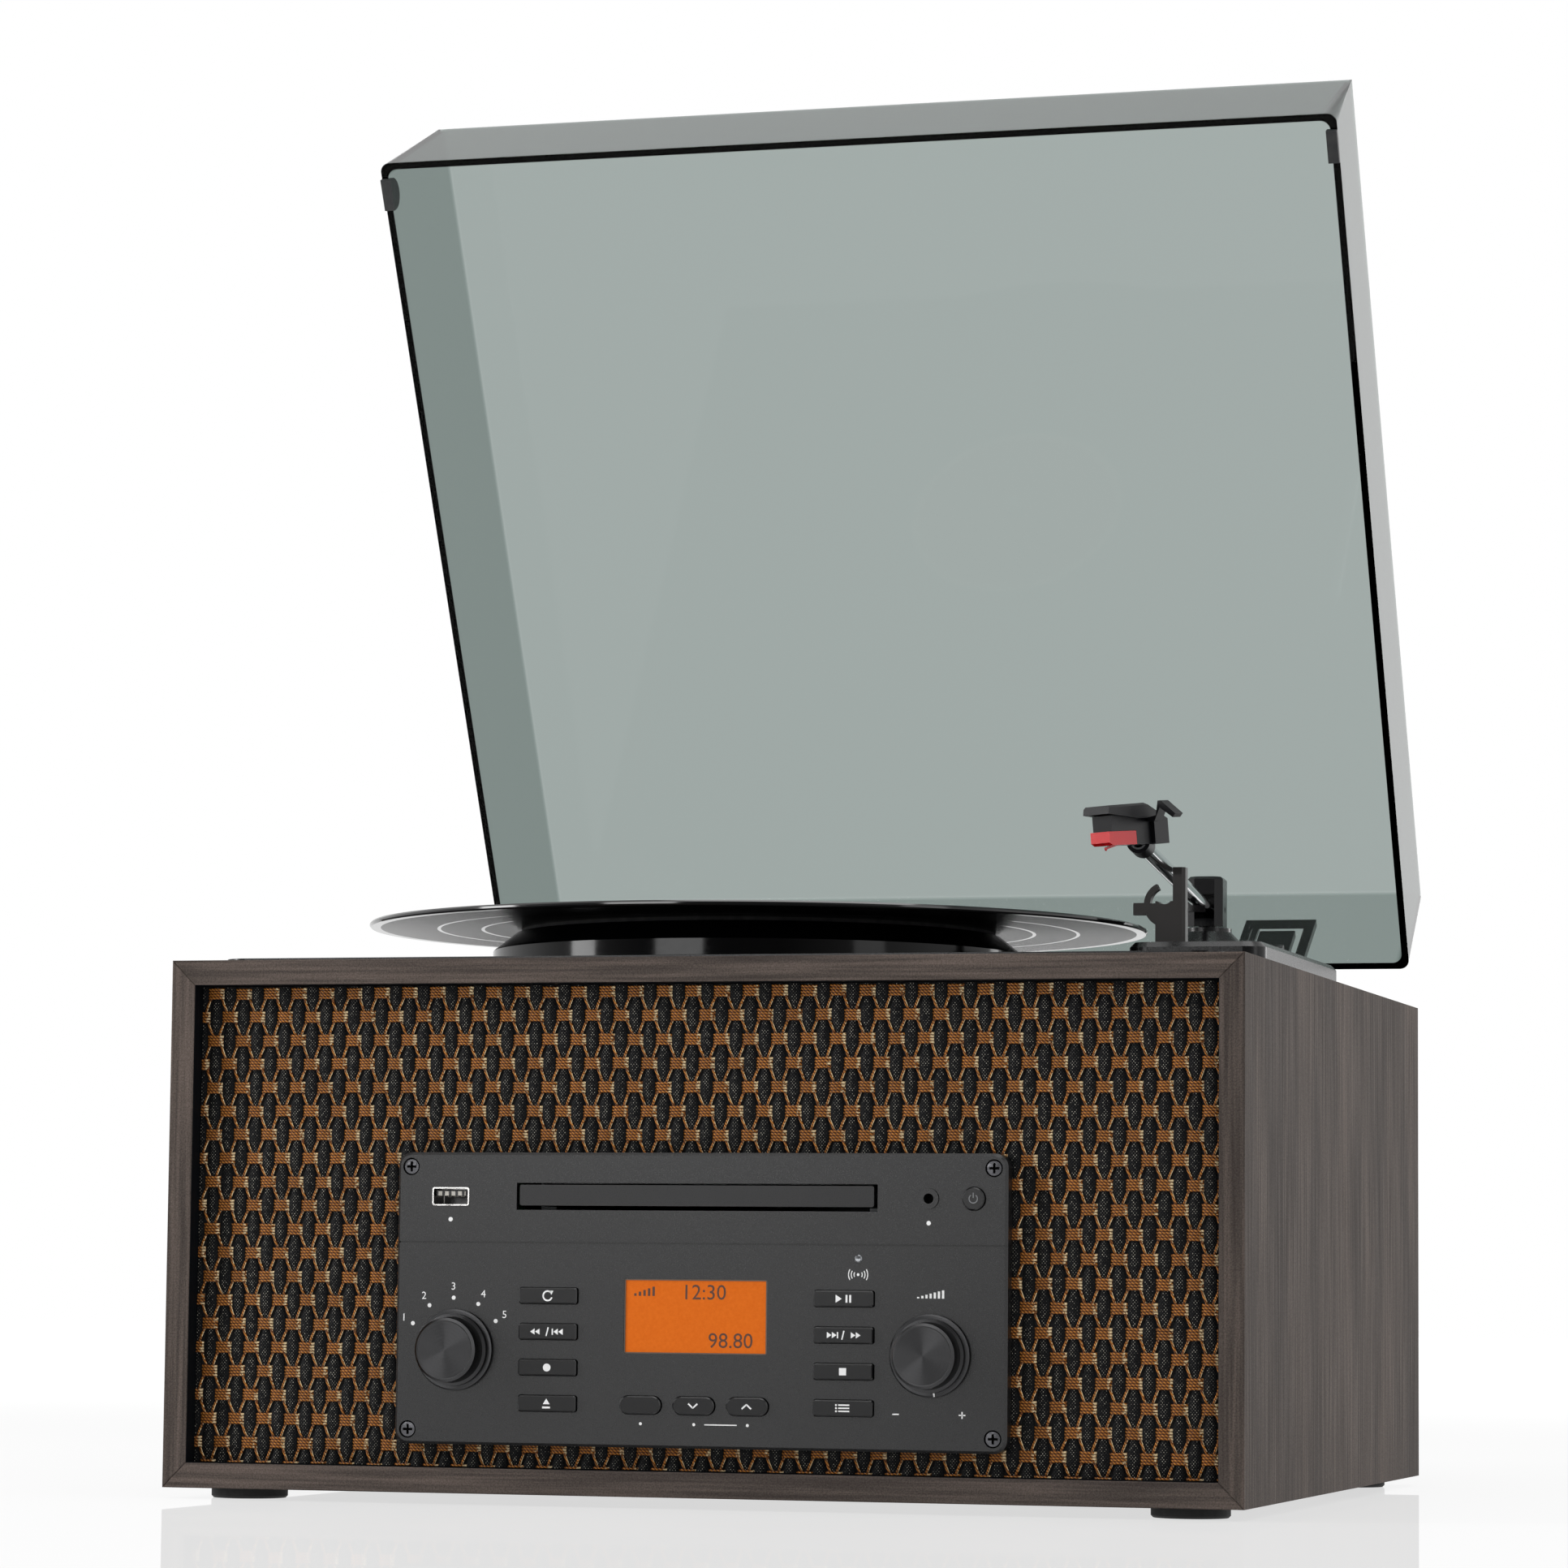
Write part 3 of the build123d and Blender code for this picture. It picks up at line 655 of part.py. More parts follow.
# ---- arm rest post: a cradle for the lowered tube, beside a tall finger ----
post_reach = ARM_Y - POST_Y
tube_x = ARM_X + post_reach * tan(out)
low = rise - radians(ARM_DROP)
cradle_z = ARM[2] + post_reach * tan(low)
cradle_radius = ARM_RADIUS + CRADLE_GAP
lip_z = cradle_z - cradle_radius + POST_LIP
finger_x = tube_x + cradle_radius
post_y0, post_y1 = POST_Y - POST_DEPTH / 2, POST_Y + POST_DEPTH / 2
post = block(POST_LEFT, finger_x + FINGER, post_y0, post_y1, ISLAND_Z, lip_z)
post += block(finger_x, finger_x + FINGER, post_y0, post_y1, ISLAND_Z, TOP + POST_TOP)
upright_edges = post.edges().filter_by(Axis.Z).group_by(Axis.X)[-1]
post = chamfer(upright_edges, FINGER_BEVEL)
hub_y0, hub_y1 = post_y1, post_y1 + CLIP_BEHIND + CLIP_THICK + CLIP_PLAY + CLIP_FLANGE_SHEET
hub_z, hub_half = TOP + CLIP_Z, CLIP_OUTER
hub = front_round(CLIP_X, hub_z, CLIP_INNER - RUNNING, hub_y0, hub_y1)
hub += front_round(CLIP_X, hub_z, CLIP_FLANGE, hub_y1 - CLIP_FLANGE_SHEET, hub_y1)
hub -= block(CLIP_X - hub_half, CLIP_X + hub_half, hub_y0 - 1, hub_y1 + 1, hub_z + HUB_FLAT, hub_z + hub_half)
post += hub
post -= front_round(tube_x, cradle_z, cradle_radius, post_y0 - 1, hub_y1 + 1)
cradle_x0, cradle_x1 = tube_x - cradle_radius, tube_x + cradle_radius
post -= block(cradle_x0, cradle_x1, post_y0 - 1, hub_y1 + 1, cradle_z, TOP + POST_TOP + 1)
save("arm_rest_post", post)

# ---- arm clip: a C-shaped ring that turns on the post's hub to close over the tube ----
sweep_from, sweep_to = radians(CLIP_TIP), radians(CLIP_END)
clip_arc = JernArc(
    (CLIP_OUTER * cos(sweep_from), CLIP_OUTER * sin(sweep_from)), (-sin(sweep_from), cos(sweep_from)),
    CLIP_OUTER, CLIP_END - CLIP_TIP,
)
inner_arc = JernArc(
    (CLIP_INNER * cos(sweep_to), CLIP_INNER * sin(sweep_to)), (sin(sweep_to), -cos(sweep_to)),
    CLIP_INNER, CLIP_TIP - CLIP_END,
)
ring = make_face([clip_arc, Line(clip_arc @ 1, inner_arc @ 0), inner_arc, Line(inner_arc @ 1, clip_arc @ 0)])
tab = Pos(-CLIP_OUTER - CLIP_TAB / 2, -CLIP_TAB_DROP) * Rectangle(CLIP_TAB + 1, CLIP_TAB_HEIGHT)
clip = extrude(ring + (tab - Circle(CLIP_OUTER - 1)), CLIP_THICK)
save("arm_clip", facing(post_y1 + CLIP_BEHIND + CLIP_THICK) * Pos(CLIP_X, TOP + CLIP_Z) * clip)

# ---- cue lift: a curved rail under the tube, on a rod through the plinth ----
rail_z = ARM[2] + LIFT_REACH * tan(rise) - ARM_RADIUS / cos(rise) - LIFT_GAP
rail_half = LIFT_RAIL / 2
rail_face = Pos(LIFT_REACH, 0) * Rectangle(LIFT_RAIL, LIFT_RAIL)
rail = revolve(Plane.XZ * rail_face, Axis.Z, LIFT_FROM - LIFT_TO)
rail = Pos(ARM[0], ARM[1], rail_z - rail_half) * Rot(0, 0, LIFT_TO - 90) * rail
rod_bottom = TOP + LIFT_SUNK
rod = Pos(*LIFT, rod_bottom) * extrude(Circle(LIFT_ROD), rail_z - rail_half - rod_bottom)
save("cue_lift", rail + rod)

# ---- cue lever, on a cross pin in the plinth ----
lever = Rot(0, 90, 0) * (Cylinder(CUE_HUB, CUE_BLADE) + Cylinder(CUE_PIN, CUE_PIN_LENGTH))
blade = Pos(0, CUE_LENGTH / 2, 0) * Box(CUE_BLADE, CUE_LENGTH, CUE_BLADE)
blade += Pos(0, CUE_LENGTH - CUE_TIP, 0) * Rot(0, 90, 0) * Cylinder(CUE_TIP, CUE_BLADE)
lever += Rot(CUE_LEAN, 0, 0) * blade
save("cue_lever", Pos(CUE_X, FRONT + CUE_Y, CUE_Z) * lever)

# ---- spindle, platter, mat and record ----
tip = RECORD_Z + RECORD + SPINDLE_ABOVE
shoulder = RECORD_Z + RECORD + CONTROL_GAP
above_record = shoulder + SPINDLE_RADIUS - SPINDLE_END
bearing_z0, bearing_z1 = TOP - BOARD - BEARING_BELOW, PLATTER_Z - SEAT_GAP
bearing_fit = BEARING_RADIUS - SEAT_GAP
spindle = turned(
    (0, bearing_z0), (bearing_fit, bearing_z0), (bearing_fit, bearing_z1), (SPINDLE_RADIUS, bearing_z1),
    (SPINDLE_RADIUS, shoulder), (SPINDLE_END, above_record), (SPINDLE_END, tip - SPINDLE_NOSE),
    (SPINDLE_END * 0.75, tip - SPINDLE_NOSE / 3), (SPINDLE_END * 0.3, tip), (0, tip),
)
save("spindle", Pos(*SPINDLE) * spindle)
z0, z1 = PLATTER_Z, PLATTER_Z + PLATTER_HEIGHT
hub_bore = SPINDLE_RADIUS + RUNNING
deck_side = z1 - PLATTER_WALL
ring_in, ring_z, skirt = DRIVE_RING - DRIVE_RING_WALL, z0 + RING_ABOVE, PLATTER_RADIUS - PLATTER_WALL
platter = turned(
    (hub_bore, z0), (HUB_RADIUS, z0), (HUB_RADIUS, deck_side), (ring_in, deck_side), (ring_in, ring_z),
    (DRIVE_RING, ring_z), (DRIVE_RING, deck_side), (PLATTER_TOP_RADIUS, deck_side),
    (skirt, z0 + PLATTER_RIM - PLATTER_WALL / 2), (skirt, z0), (PLATTER_RADIUS - RIM_ROUND, z0),
    (PLATTER_RADIUS, z0 + RIM_ROUND), (PLATTER_RADIUS, z0 + PLATTER_RIM - RIM_ROUND),
    (PLATTER_RADIUS - RIM_ROUND, z0 + PLATTER_RIM), (PLATTER_TOP_RADIUS, z1), (hub_bore, z1),
)
save("platter", Pos(*SPINDLE) * platter)
save("slip_mat", Pos(*SPINDLE, z1) * tube(MAT_RADIUS, RECORD_HOLE, MAT))
record_top = RECORD_Z + RECORD
bead = RECORD_RADIUS - BEAD_WIDTH
record = turned(
    (RECORD_HOLE, RECORD_Z), (RECORD_RADIUS - RECORD_ROUND, RECORD_Z), (RECORD_RADIUS, RECORD_Z + RECORD_ROUND),
    (RECORD_RADIUS, record_top - RECORD_ROUND), (RECORD_RADIUS - RECORD_ROUND, record_top), (bead, record_top),
    (bead - 1, record_top - RECORD_BEAD), (LABEL_RADIUS + 1, record_top - RECORD_BEAD),
    (LABEL_RADIUS, record_top), (RECORD_HOLE, record_top),
)
save("record", Pos(*SPINDLE) * record)

# ---- motor, pulley and belt ----
belt_z = ring_z + BELT_LOW
motor_top = TOP - BOARD
flange_z, motor_z0 = motor_top - MOTOR_FLANGE_SHEET, motor_top - MOTOR_HEIGHT
motor = turned(
    (0, motor_z0), (MOTOR_RADIUS, motor_z0), (MOTOR_RADIUS, flange_z), (MOTOR_RADIUS + MOTOR_FLANGE, flange_z),
    (MOTOR_RADIUS + MOTOR_FLANGE, motor_top), (0, motor_top),
)
motor -= Pos(0, 0, motor_top) * Cylinder(MOTOR_SHAFT + RUNNING, 2 * (MOTOR_SHAFT_DEEP + 1))
save("drive_motor", Pos(*MOTOR) * motor)
groove_z0, groove_z1 = belt_z - BELT_GAP, belt_z + BELT_HEIGHT + BELT_GAP
pulley_z0 = groove_z0 - (PULLEY_HEIGHT - BELT_HEIGHT) / 2 + BELT_GAP
pulley = turned(
    (0, motor_top - MOTOR_SHAFT_DEEP), (MOTOR_SHAFT, motor_top - MOTOR_SHAFT_DEEP), (MOTOR_SHAFT, pulley_z0),
    (PULLEY_FLANGE, pulley_z0), (PULLEY_FLANGE, groove_z0), (PULLEY_RADIUS, groove_z0), (PULLEY_RADIUS, groove_z1),
    (PULLEY_FLANGE, groove_z1), (PULLEY_FLANGE, pulley_z0 + PULLEY_HEIGHT), (0, pulley_z0 + PULLEY_HEIGHT),
)
save("motor_pulley", Pos(*MOTOR) * pulley)


def belt_outline(grow):
    """The outline round the drive ring and the pulley, as two circles and their tangents."""
    ring, wheel, reach = DRIVE_RING + grow, PULLEY_RADIUS + grow, MOTOR_REACH
    lean = (ring - wheel) / reach
    side = sqrt(1 - lean * lean)
    corners = [(ring * lean, ring * side), (reach + wheel * lean, wheel * side)]
    corners += [(x, -y) for x, y in reversed(corners)]
    return Circle(ring) + Pos(reach, 0) * Circle(wheel) + make_face(Polyline(*corners, close=True))


belt = extrude(belt_outline(BELT_GAP + BELT) - belt_outline(BELT_GAP), BELT_HEIGHT)
save("drive_belt", Pos(*SPINDLE, belt_z) * Rot(0, 0, MOTOR_ANGLE) * belt)

# ---- speed selector ----
selector = extrude(Circle(SELECTOR_RADIUS), SELECTOR_HEIGHT)
selector = chamfer(selector.edges().sort_by(Axis.Z)[-1], SELECTOR_BEVEL)
selector += Pos(0, 0, -SELECTOR_DEEP) * extrude(Circle(SELECTOR_STEM), SELECTOR_DEEP)
save("speed_selector", Pos(SELECTOR[0] - SELECTOR_SHIFT, SELECTOR[1], DECK_Z + SEAT_GAP) * selector)


# ---- lid: drawn closed, then turned open about its hinge pins ----
PIVOT = Axis((0, FRONT + PIVOT_Y, PIVOT_Z), (1, 0, 0))


def opened(shape):
    return shape.rotate(PIVOT, -LID_OPEN)


def tapered(inset, height):
    """A drafted block that stands on the rim, inset from the lid's outside all round."""
    rim = RectangleRounded(LID_WIDTH - 2 * inset, LID_LENGTH - 2 * inset, LID_CORNER)
    return Pos(0, FRONT + REAR_RIM - LID_LENGTH / 2, RIM_Z) * extrude(rim, height, taper=LID_DRAFT)


lid = tapered(0, LID_HEIGHT)
lid = fillet(lid.faces().sort_by(Axis.Z)[-1].edges(), LID_EDGE)
lid -= tapered(LID_WALL, LID_HEIGHT - LID_WALL)
save("lid", opened(lid))

bumpers = []
bumper_y = FRONT + REAR_RIM - LID_LENGTH + BUMPER_AT
for side in (-1, 1):
    pad_x = side * (LID_WIDTH / 2 - (LID_WALL + BUMPER_TONGUE) / 2)
    pad = Pos(pad_x, bumper_y, TOP + SEAT_GAP) * Box(
        LID_WALL + BUMPER_TONGUE, BUMPER_LENGTH, LID_GAP - SEAT_GAP, align=on_floor
    )
    tongue_x = side * (LID_WIDTH / 2 - LID_WALL - BUMPER_TONGUE / 2)
    tongue = Rot(0, 90, 0) * Cylinder(BUMPER_LENGTH / 2, BUMPER_TONGUE)
    tongue -= Pos(0, 0, -BUMPER_LENGTH / 2) * Box(2 * BUMPER_TONGUE, 2 * BUMPER_LENGTH, BUMPER_LENGTH)
    bumpers.append(opened((pad + Pos(tongue_x, bumper_y, RIM_Z) * tongue) - lid))
save("lid_bumpers", *bumpers)

# ---- hinge leaves, on the lid's rear wall; local y runs up the wall and local z outwards ----
draft = radians(LID_DRAFT)


def on_rear_wall(x):
    return Plane(origin=(x, FRONT + REAR_RIM, RIM_Z), x_dir=(-1, 0, 0), z_dir=(0, cos(draft), sin(draft)))


def upright(width, y0, y1):
    return Pos(0, (y0 + y1) / 2) * Rectangle(width, y1 - y0)


leaf_face = upright(LEAF_WIDTH, LEAF_FOOT, LEAF_HEIGHT) + upright(LOOP_WIDTH, LEAF_FOOT, LOOP_HEIGHT)
leaf_face -= upright(LOOP_WIDTH - 2 * LOOP_BAR, LEAF_FOOT + LOOP_BAR, LOOP_HEIGHT - LOOP_BAR)
leaf_face += upright(LEAF_WIDTH, LEAF_FOOT, LEAF_HEIGHT)
leaf = Pos(0, 0, LEAF_GAP) * extrude(leaf_face, LEAF)
for side in (-1, 1):
    rib = Rot(-90, 0, 0) * extrude(Circle(RIB_RADIUS), RIB_TO - RIB_FROM)
    leaf += Pos(side * RIB_X, RIB_FROM, RIB_OUT) * rib
    for y in (RIB_FROM, RIB_TO):
        leaf += Pos(side * RIB_X, y, RIB_OUT) * Sphere(RIB_RADIUS)
leaves, brackets, pins = [], [], []
wall_y, pivot_y = FRONT + REAR_RIM, FRONT + PIVOT_Y
pivot_2d = Pos(pivot_y, PIVOT_Z)
web = Polyline(
    (wall_y + WEB_IN, RIM_Z + LEAF_FOOT), (pivot_y - KNUCKLE_RADIUS / 2, PIVOT_Z - KNUCKLE_RADIUS * 0.8),
    (pivot_y + KNUCKLE_RADIUS / 3, PIVOT_Z + KNUCKLE_RADIUS * 0.93), (wall_y + WEB_IN / 3, RIM_Z + WEB_TOP),
    close=True,
)
knuckle_face = make_face(web) + pivot_2d * Circle(KNUCKLE_RADIUS) - pivot_2d * Circle(PIN_RADIUS + RUNNING)
near, far, foot_z = pivot_y - CHEEK_RADIUS, pivot_y + CHEEK_RADIUS, TOP - BRACKET_DROP + CHEEK_FOOT
cheek_outline = Polyline(
    (near, foot_z), (near + BRACKET, foot_z), (far, foot_z + CHEEK_RAKE), (far, PIVOT_Z), (near, PIVOT_Z), close=True
)
cheek_face = make_face(cheek_outline) + pivot_2d * Circle(CHEEK_RADIUS)
cheek_face -= pivot_2d * Circle(PIN_RADIUS + PIN_FIT)
cheek_x = LEAF_WIDTH / 2 + CHEEK_GAP
pin_half = cheek_x + CHEEK
pin = turned(
    (0, -pin_half - PIN_HEAD), (PIN_HEAD_RADIUS, -pin_half - PIN_HEAD), (PIN_HEAD_RADIUS, -pin_half),
    (PIN_RADIUS, -pin_half), (PIN_RADIUS, pin_half), (PIN_HEAD_RADIUS, pin_half),
    (PIN_HEAD_RADIUS, pin_half + PIN_HEAD), (0, pin_half + PIN_HEAD),
)
for x in (-HINGE_X, HINGE_X):
    side_view = Plane(origin=(x, 0, 0), x_dir=(0, 1, 0), z_dir=(1, 0, 0))
    knuckle = extrude(side_view * knuckle_face, LEAF_WIDTH / 2, both=True)
    leaves.append(opened(on_rear_wall(x) * leaf + knuckle))
    half = BRACKET_WIDTH / 2
    bracket = block(x - half, x + half, CAB_DEPTH, CAB_DEPTH + BRACKET, TOP - BRACKET_DROP, TOP + BRACKET_RISE)
    for cheek_start in (cheek_x, -cheek_x - CHEEK):
        bracket += Pos(cheek_start, 0, 0) * extrude(side_view * cheek_face, CHEEK)
    brackets.append(bracket)
    pins.append(Pos(x, pivot_y, PIVOT_Z) * Rot(0, 90, 0) * pin)
save("hinge_leaves", *leaves)
save("hinge_brackets", *brackets, *pins)
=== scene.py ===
from math import cos, pi, radians, sin, sqrt
from random import Random

import bmesh
import bpy
from mathutils import Matrix, Vector


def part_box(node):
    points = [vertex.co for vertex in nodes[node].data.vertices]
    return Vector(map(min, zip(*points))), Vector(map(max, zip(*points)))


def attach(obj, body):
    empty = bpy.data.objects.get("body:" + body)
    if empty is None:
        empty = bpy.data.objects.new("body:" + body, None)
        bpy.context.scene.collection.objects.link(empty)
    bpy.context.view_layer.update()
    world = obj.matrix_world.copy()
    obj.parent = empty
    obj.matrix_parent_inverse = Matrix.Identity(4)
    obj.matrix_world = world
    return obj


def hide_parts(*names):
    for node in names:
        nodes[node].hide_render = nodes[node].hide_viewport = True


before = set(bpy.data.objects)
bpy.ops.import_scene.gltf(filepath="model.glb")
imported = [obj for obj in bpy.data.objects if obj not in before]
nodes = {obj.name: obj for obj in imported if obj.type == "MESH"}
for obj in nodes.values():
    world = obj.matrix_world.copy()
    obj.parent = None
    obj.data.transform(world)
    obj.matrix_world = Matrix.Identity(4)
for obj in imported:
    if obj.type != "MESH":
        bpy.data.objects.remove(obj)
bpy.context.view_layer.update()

mm = 0.001
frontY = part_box("cabinet_left_side")[0].y  # the cabinet's front face, from which depths are counted
print("frame loaded:", len(nodes), "nodes")


def centreOf(node):
    low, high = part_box(node)
    return (low + high) / 2


# places in metres, angles in degrees, lens and sensor in millimetres
camera = {"x": 0.5509, "behind": -1.7934, "z": 0.0795, "yaw": 16.101, "pitch": 5.437, "roll": 0.543,
          "lens": 120.80, "sensor": 36.0, "nearest": 0.05}


def makeCamera():
    data = bpy.data.cameras.new("camera")
    data.lens = camera["lens"]
    data.sensor_width = camera["sensor"]
    data.sensor_fit = "HORIZONTAL"
    data.clip_start = camera["nearest"]
    obj = bpy.data.objects.new("camera", data)
    turn = Matrix.Rotation(radians(camera["yaw"]), 4, "Z")
    turn = turn @ Matrix.Rotation(radians(90 + camera["pitch"]), 4, "X")
    turn = turn @ Matrix.Rotation(radians(camera["roll"]), 4, "Z")
    place = Matrix.Translation((camera["x"], frontY + camera["behind"], camera["z"]))
    obj.matrix_world = place @ turn
    bpy.context.scene.collection.objects.link(obj)
    bpy.context.scene.camera = obj


makeCamera()


def colour(hexCode):
    parts = [int(hexCode[i:i + 2], 16) / 255 for i in (1, 3, 5)]  # sRGB to linear
    return [c / 12.92 if c <= 0.04045 else ((c + 0.055) / 1.055) ** 2.4 for c in parts] + [1.0]


def setInputs(tree, node, inputs):
    # a node as a value stands for its first output in use
    for socket, value in inputs.items():
        if isinstance(value, bpy.types.Node):
            value = next(output for output in value.outputs if output.enabled)
        if isinstance(value, bpy.types.NodeSocket):
            tree.links.new(value, node.inputs[socket])
        else:
            node.inputs[socket].default_value = value


def addNode(tree, kind, inputs=(), stops=(), **settings):
    # inputs are a dict by name or a list for the sockets in use; stops are a ramp's positions and tones
    node = tree.nodes.new("ShaderNode" + kind)
    for name, value in settings.items():
        setattr(node, name, value)
    if not isinstance(inputs, dict):
        inUse = [i for i, socket in enumerate(node.inputs) if socket.enabled]
        inputs = dict(zip(inUse, inputs))
    setInputs(tree, node, inputs)
    while stops and len(node.color_ramp.elements) < len(stops):
        node.color_ramp.elements.new(0.5)
    for place, (position, tone) in enumerate(stops):
        element = node.color_ramp.elements[place]
        element.position = position
        element.color = colour(tone) if isinstance(tone, str) else (tone, tone, tone, 1)
    return node


def newMaterial(name, base, **sockets):
    material = bpy.data.materials.new(name)
    material.use_nodes = True
    material.diffuse_color = colour(base)
    tree = material.node_tree
    shader = tree.nodes["Principled BSDF"]
    shader.inputs["Base Color"].default_value = colour(base)
    for socket, value in sockets.items():
        shader.inputs[socket.replace("_", " ")].default_value = value
    return material, tree, shader


def objectPlace(tree, centre=(0, 0, 0), scale=(1, 1, 1), turn=(0, 0, 0)):
    coords = addNode(tree, "TexCoord").outputs["Object"]
    moved = addNode(tree, "VectorMath", (coords, centre), operation="SUBTRACT")
    return addNode(tree, "Mapping", {"Vector": moved, "Rotation": turn, "Scale": scale})


def radiusFrom(tree, place):
    flat = addNode(tree, "VectorMath", (place, (1, 1, 0)), operation="MULTIPLY")
    return addNode(tree, "VectorMath", (flat,), operation="LENGTH")


def splitPlace(tree, centre):
    return addNode(tree, "SeparateXYZ", (objectPlace(tree, centre),))


def insideFront(tree, split, halfX, halfZ):
    # 1 inside a rectangle of the front, seen from its middle, and 0 outside it
    within = []
    for axis, half in (("X", halfX), ("Z", halfZ)):
        away = addNode(tree, "Math", (split.outputs[axis],), operation="ABSOLUTE")
        within.append(addNode(tree, "Math", (away, half), operation="LESS_THAN"))
    return addNode(tree, "Math", within, operation="MULTIPLY")


# printed walnut foil: its tones, and its pattern's real sizes; inside is the painted shade on the boards'
# inner edges round the weave
laminate = {"light": "#685D57", "dark": "#4C4541", "streak": "#383230", "grainMm": 1.6, "alongMm": 70,
            "bandMm": 24, "speckleMm": 0.55, "embossMm": 0.12, "inside": "#121417", "spillMm": 0.35}
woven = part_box("grille_cloth")
opening = {"left": woven[0].x, "right": woven[1].x, "low": woven[0].z, "high": woven[1].z}


def walnutLaminate(name, along):
    # printed walnut foil on board: fine streaks along the grain, a fine embossed speckle, low satin gloss
    material, tree, shader = newMaterial(name, laminate["light"], Roughness=0.5, Specular_IOR_Level=0.02)
    across, slow = 1 / (laminate["grainMm"] * mm), 1 / (laminate["alongMm"] * mm)
    broad = 1 / (laminate["bandMm"] * mm)
    fine = objectPlace(tree, scale=[slow if axis == along else across for axis in "xyz"])
    wide = objectPlace(tree, scale=[slow * 0.5 if axis == along else broad for axis in "xyz"])
    streaks = addNode(tree, "TexNoise", (fine, 1.0, 4.0, 0.55))
    bands = addNode(tree, "TexNoise", (wide, 1.0, 2.0, 0.55))
    speckle = addNode(tree, "TexNoise", (objectPlace(tree), 1 / (laminate["speckleMm"] * mm), 1.0, 0.55))
    shareOfBands = addNode(tree, "Math", (bands, 0.4), operation="MULTIPLY")
    mixed = addNode(tree, "Math", (streaks, 0.6, shareOfBands), operation="MULTIPLY_ADD")
    tone = addNode(tree, "ValToRGB", (mixed,), stops=(
        (0.3, laminate["streak"]), (0.47, laminate["dark"]), (0.66, laminate["light"])))
    grit = addNode(tree, "ValToRGB", (speckle,), stops=((0.3, 0.72), (0.7, 1.18)))
    foil = addNode(tree, "Mix", (1.0, tone, grit), data_type="RGBA", blend_type="MULTIPLY")
    # painted shade: the board's inner edges, round the weave, are darkened to near-black
    halfWide, halfTall = (opening["right"] - opening["left"]) / 2, (opening["high"] - opening["low"]) / 2
    spill = laminate["spillMm"] * mm
    split = splitPlace(tree, centreOf("grille_cloth"))
    inner = insideFront(tree, split, halfWide + spill, halfTall + spill)
    insideShaded = addNode(tree, "Mix", (inner, foil, colour(laminate["inside"])), data_type="RGBA")
    gloss = addNode(tree, "ValToRGB", (streaks,), stops=((0.3, 0.6), (0.7, 0.46)))
    emboss = laminate["embossMm"] * mm
    relief = addNode(tree, "Bump", {"Height": speckle, "Distance": emboss, "Strength": 0.5})
    setInputs(tree, shader, {"Base Color": insideShaded, "Roughness": gloss, "Normal": relief})
    return material


def mouldedPlastic(name, base, roughness, grainMm=0.5, depthMm=0.02, **sockets):
    # spark-eroded mould surface: an even fine grain that breaks up the gloss
    material, tree, shader = newMaterial(name, base, Roughness=roughness, **sockets)
    grain = addNode(tree, "TexNoise", (objectPlace(tree), 1 / (grainMm * mm), 2.0, 0.55))
    cloud = addNode(tree, "TexNoise", (objectPlace(tree), 1 / (60 * mm), 2.0, 0.55))
    darker, lighter = ([c * share for c in colour(base)[:3]] + [1] for share in (0.86, 1.14))
    tone = addNode(tree, "Mix", (cloud, darker, lighter), data_type="RGBA")
    gloss = addNode(tree, "ValToRGB", (grain,), stops=(
        (0.3, roughness * 0.85), (0.7, min(1, roughness * 1.15))))
    relief = addNode(tree, "Bump", {"Height": grain, "Distance": depthMm * mm, "Strength": 0.6})
    setInputs(tree, shader, {"Base Color": tone, "Roughness": gloss, "Normal": relief})
    return material


def turnedMetal(name, base, roughness, centre, ringMm=0.4, depthMm=0.02, turn=(0, 0, 0), axis=(0, 0, 1),
                **sockets):
    # lathe-turned or spun metal: fine rings about its axis, which stretch each highlight
    material, tree, shader = newMaterial(name, base, Roughness=roughness, Metallic=1.0, **sockets)
    around = addNode(tree, "VectorMath", (objectPlace(tree, centre), axis), operation="CROSS_PRODUCT")
    place = objectPlace(tree, centre, turn=turn)
    waves = addNode(tree, "Math", (radiusFrom(tree, place), 2 * pi / (ringMm * mm)), operation="MULTIPLY")
    rings = addNode(tree, "Math", (waves,), operation="SINE")
    wobble = addNode(tree, "TexNoise", (place, 1 / (0.7 * mm), 2.0, 0.55))
    height = addNode(tree, "Math", (wobble, 0.15, rings), operation="MULTIPLY_ADD")
    gloss = addNode(tree, "ValToRGB", (wobble,), stops=((0.3, roughness * 0.92), (0.7, roughness * 1.08)))
    relief = addNode(tree, "Bump", {"Height": height, "Distance": depthMm * mm, "Strength": 0.7})
    setInputs(tree, shader, {"Tangent": around, "Roughness": gloss, "Normal": relief})
    return material


def rolledSteel(name, base, roughness):
    # galvanised or pressed sheet steel: soft spangle, slightly uneven gloss
    material, tree, shader = newMaterial(name, base, Roughness=roughness, Metallic=1.0)
    spangle = addNode(tree, "TexVoronoi", {"Vector": objectPlace(tree), "Scale": 1 / (6 * mm)})
    gloss = addNode(tree, "ValToRGB", (spangle,), stops=((0.0, roughness * 0.75), (0.8, roughness * 1.25)))
    dents = addNode(tree, "TexNoise", (objectPlace(tree), 1 / (1.5 * mm), 3.0, 0.55))
    relief = addNode(tree, "Bump", {"Height": dents, "Distance": 0.02 * mm, "Strength": 0.5})
    setInputs(tree, shader, {"Roughness": gloss, "Normal": relief})
    return material


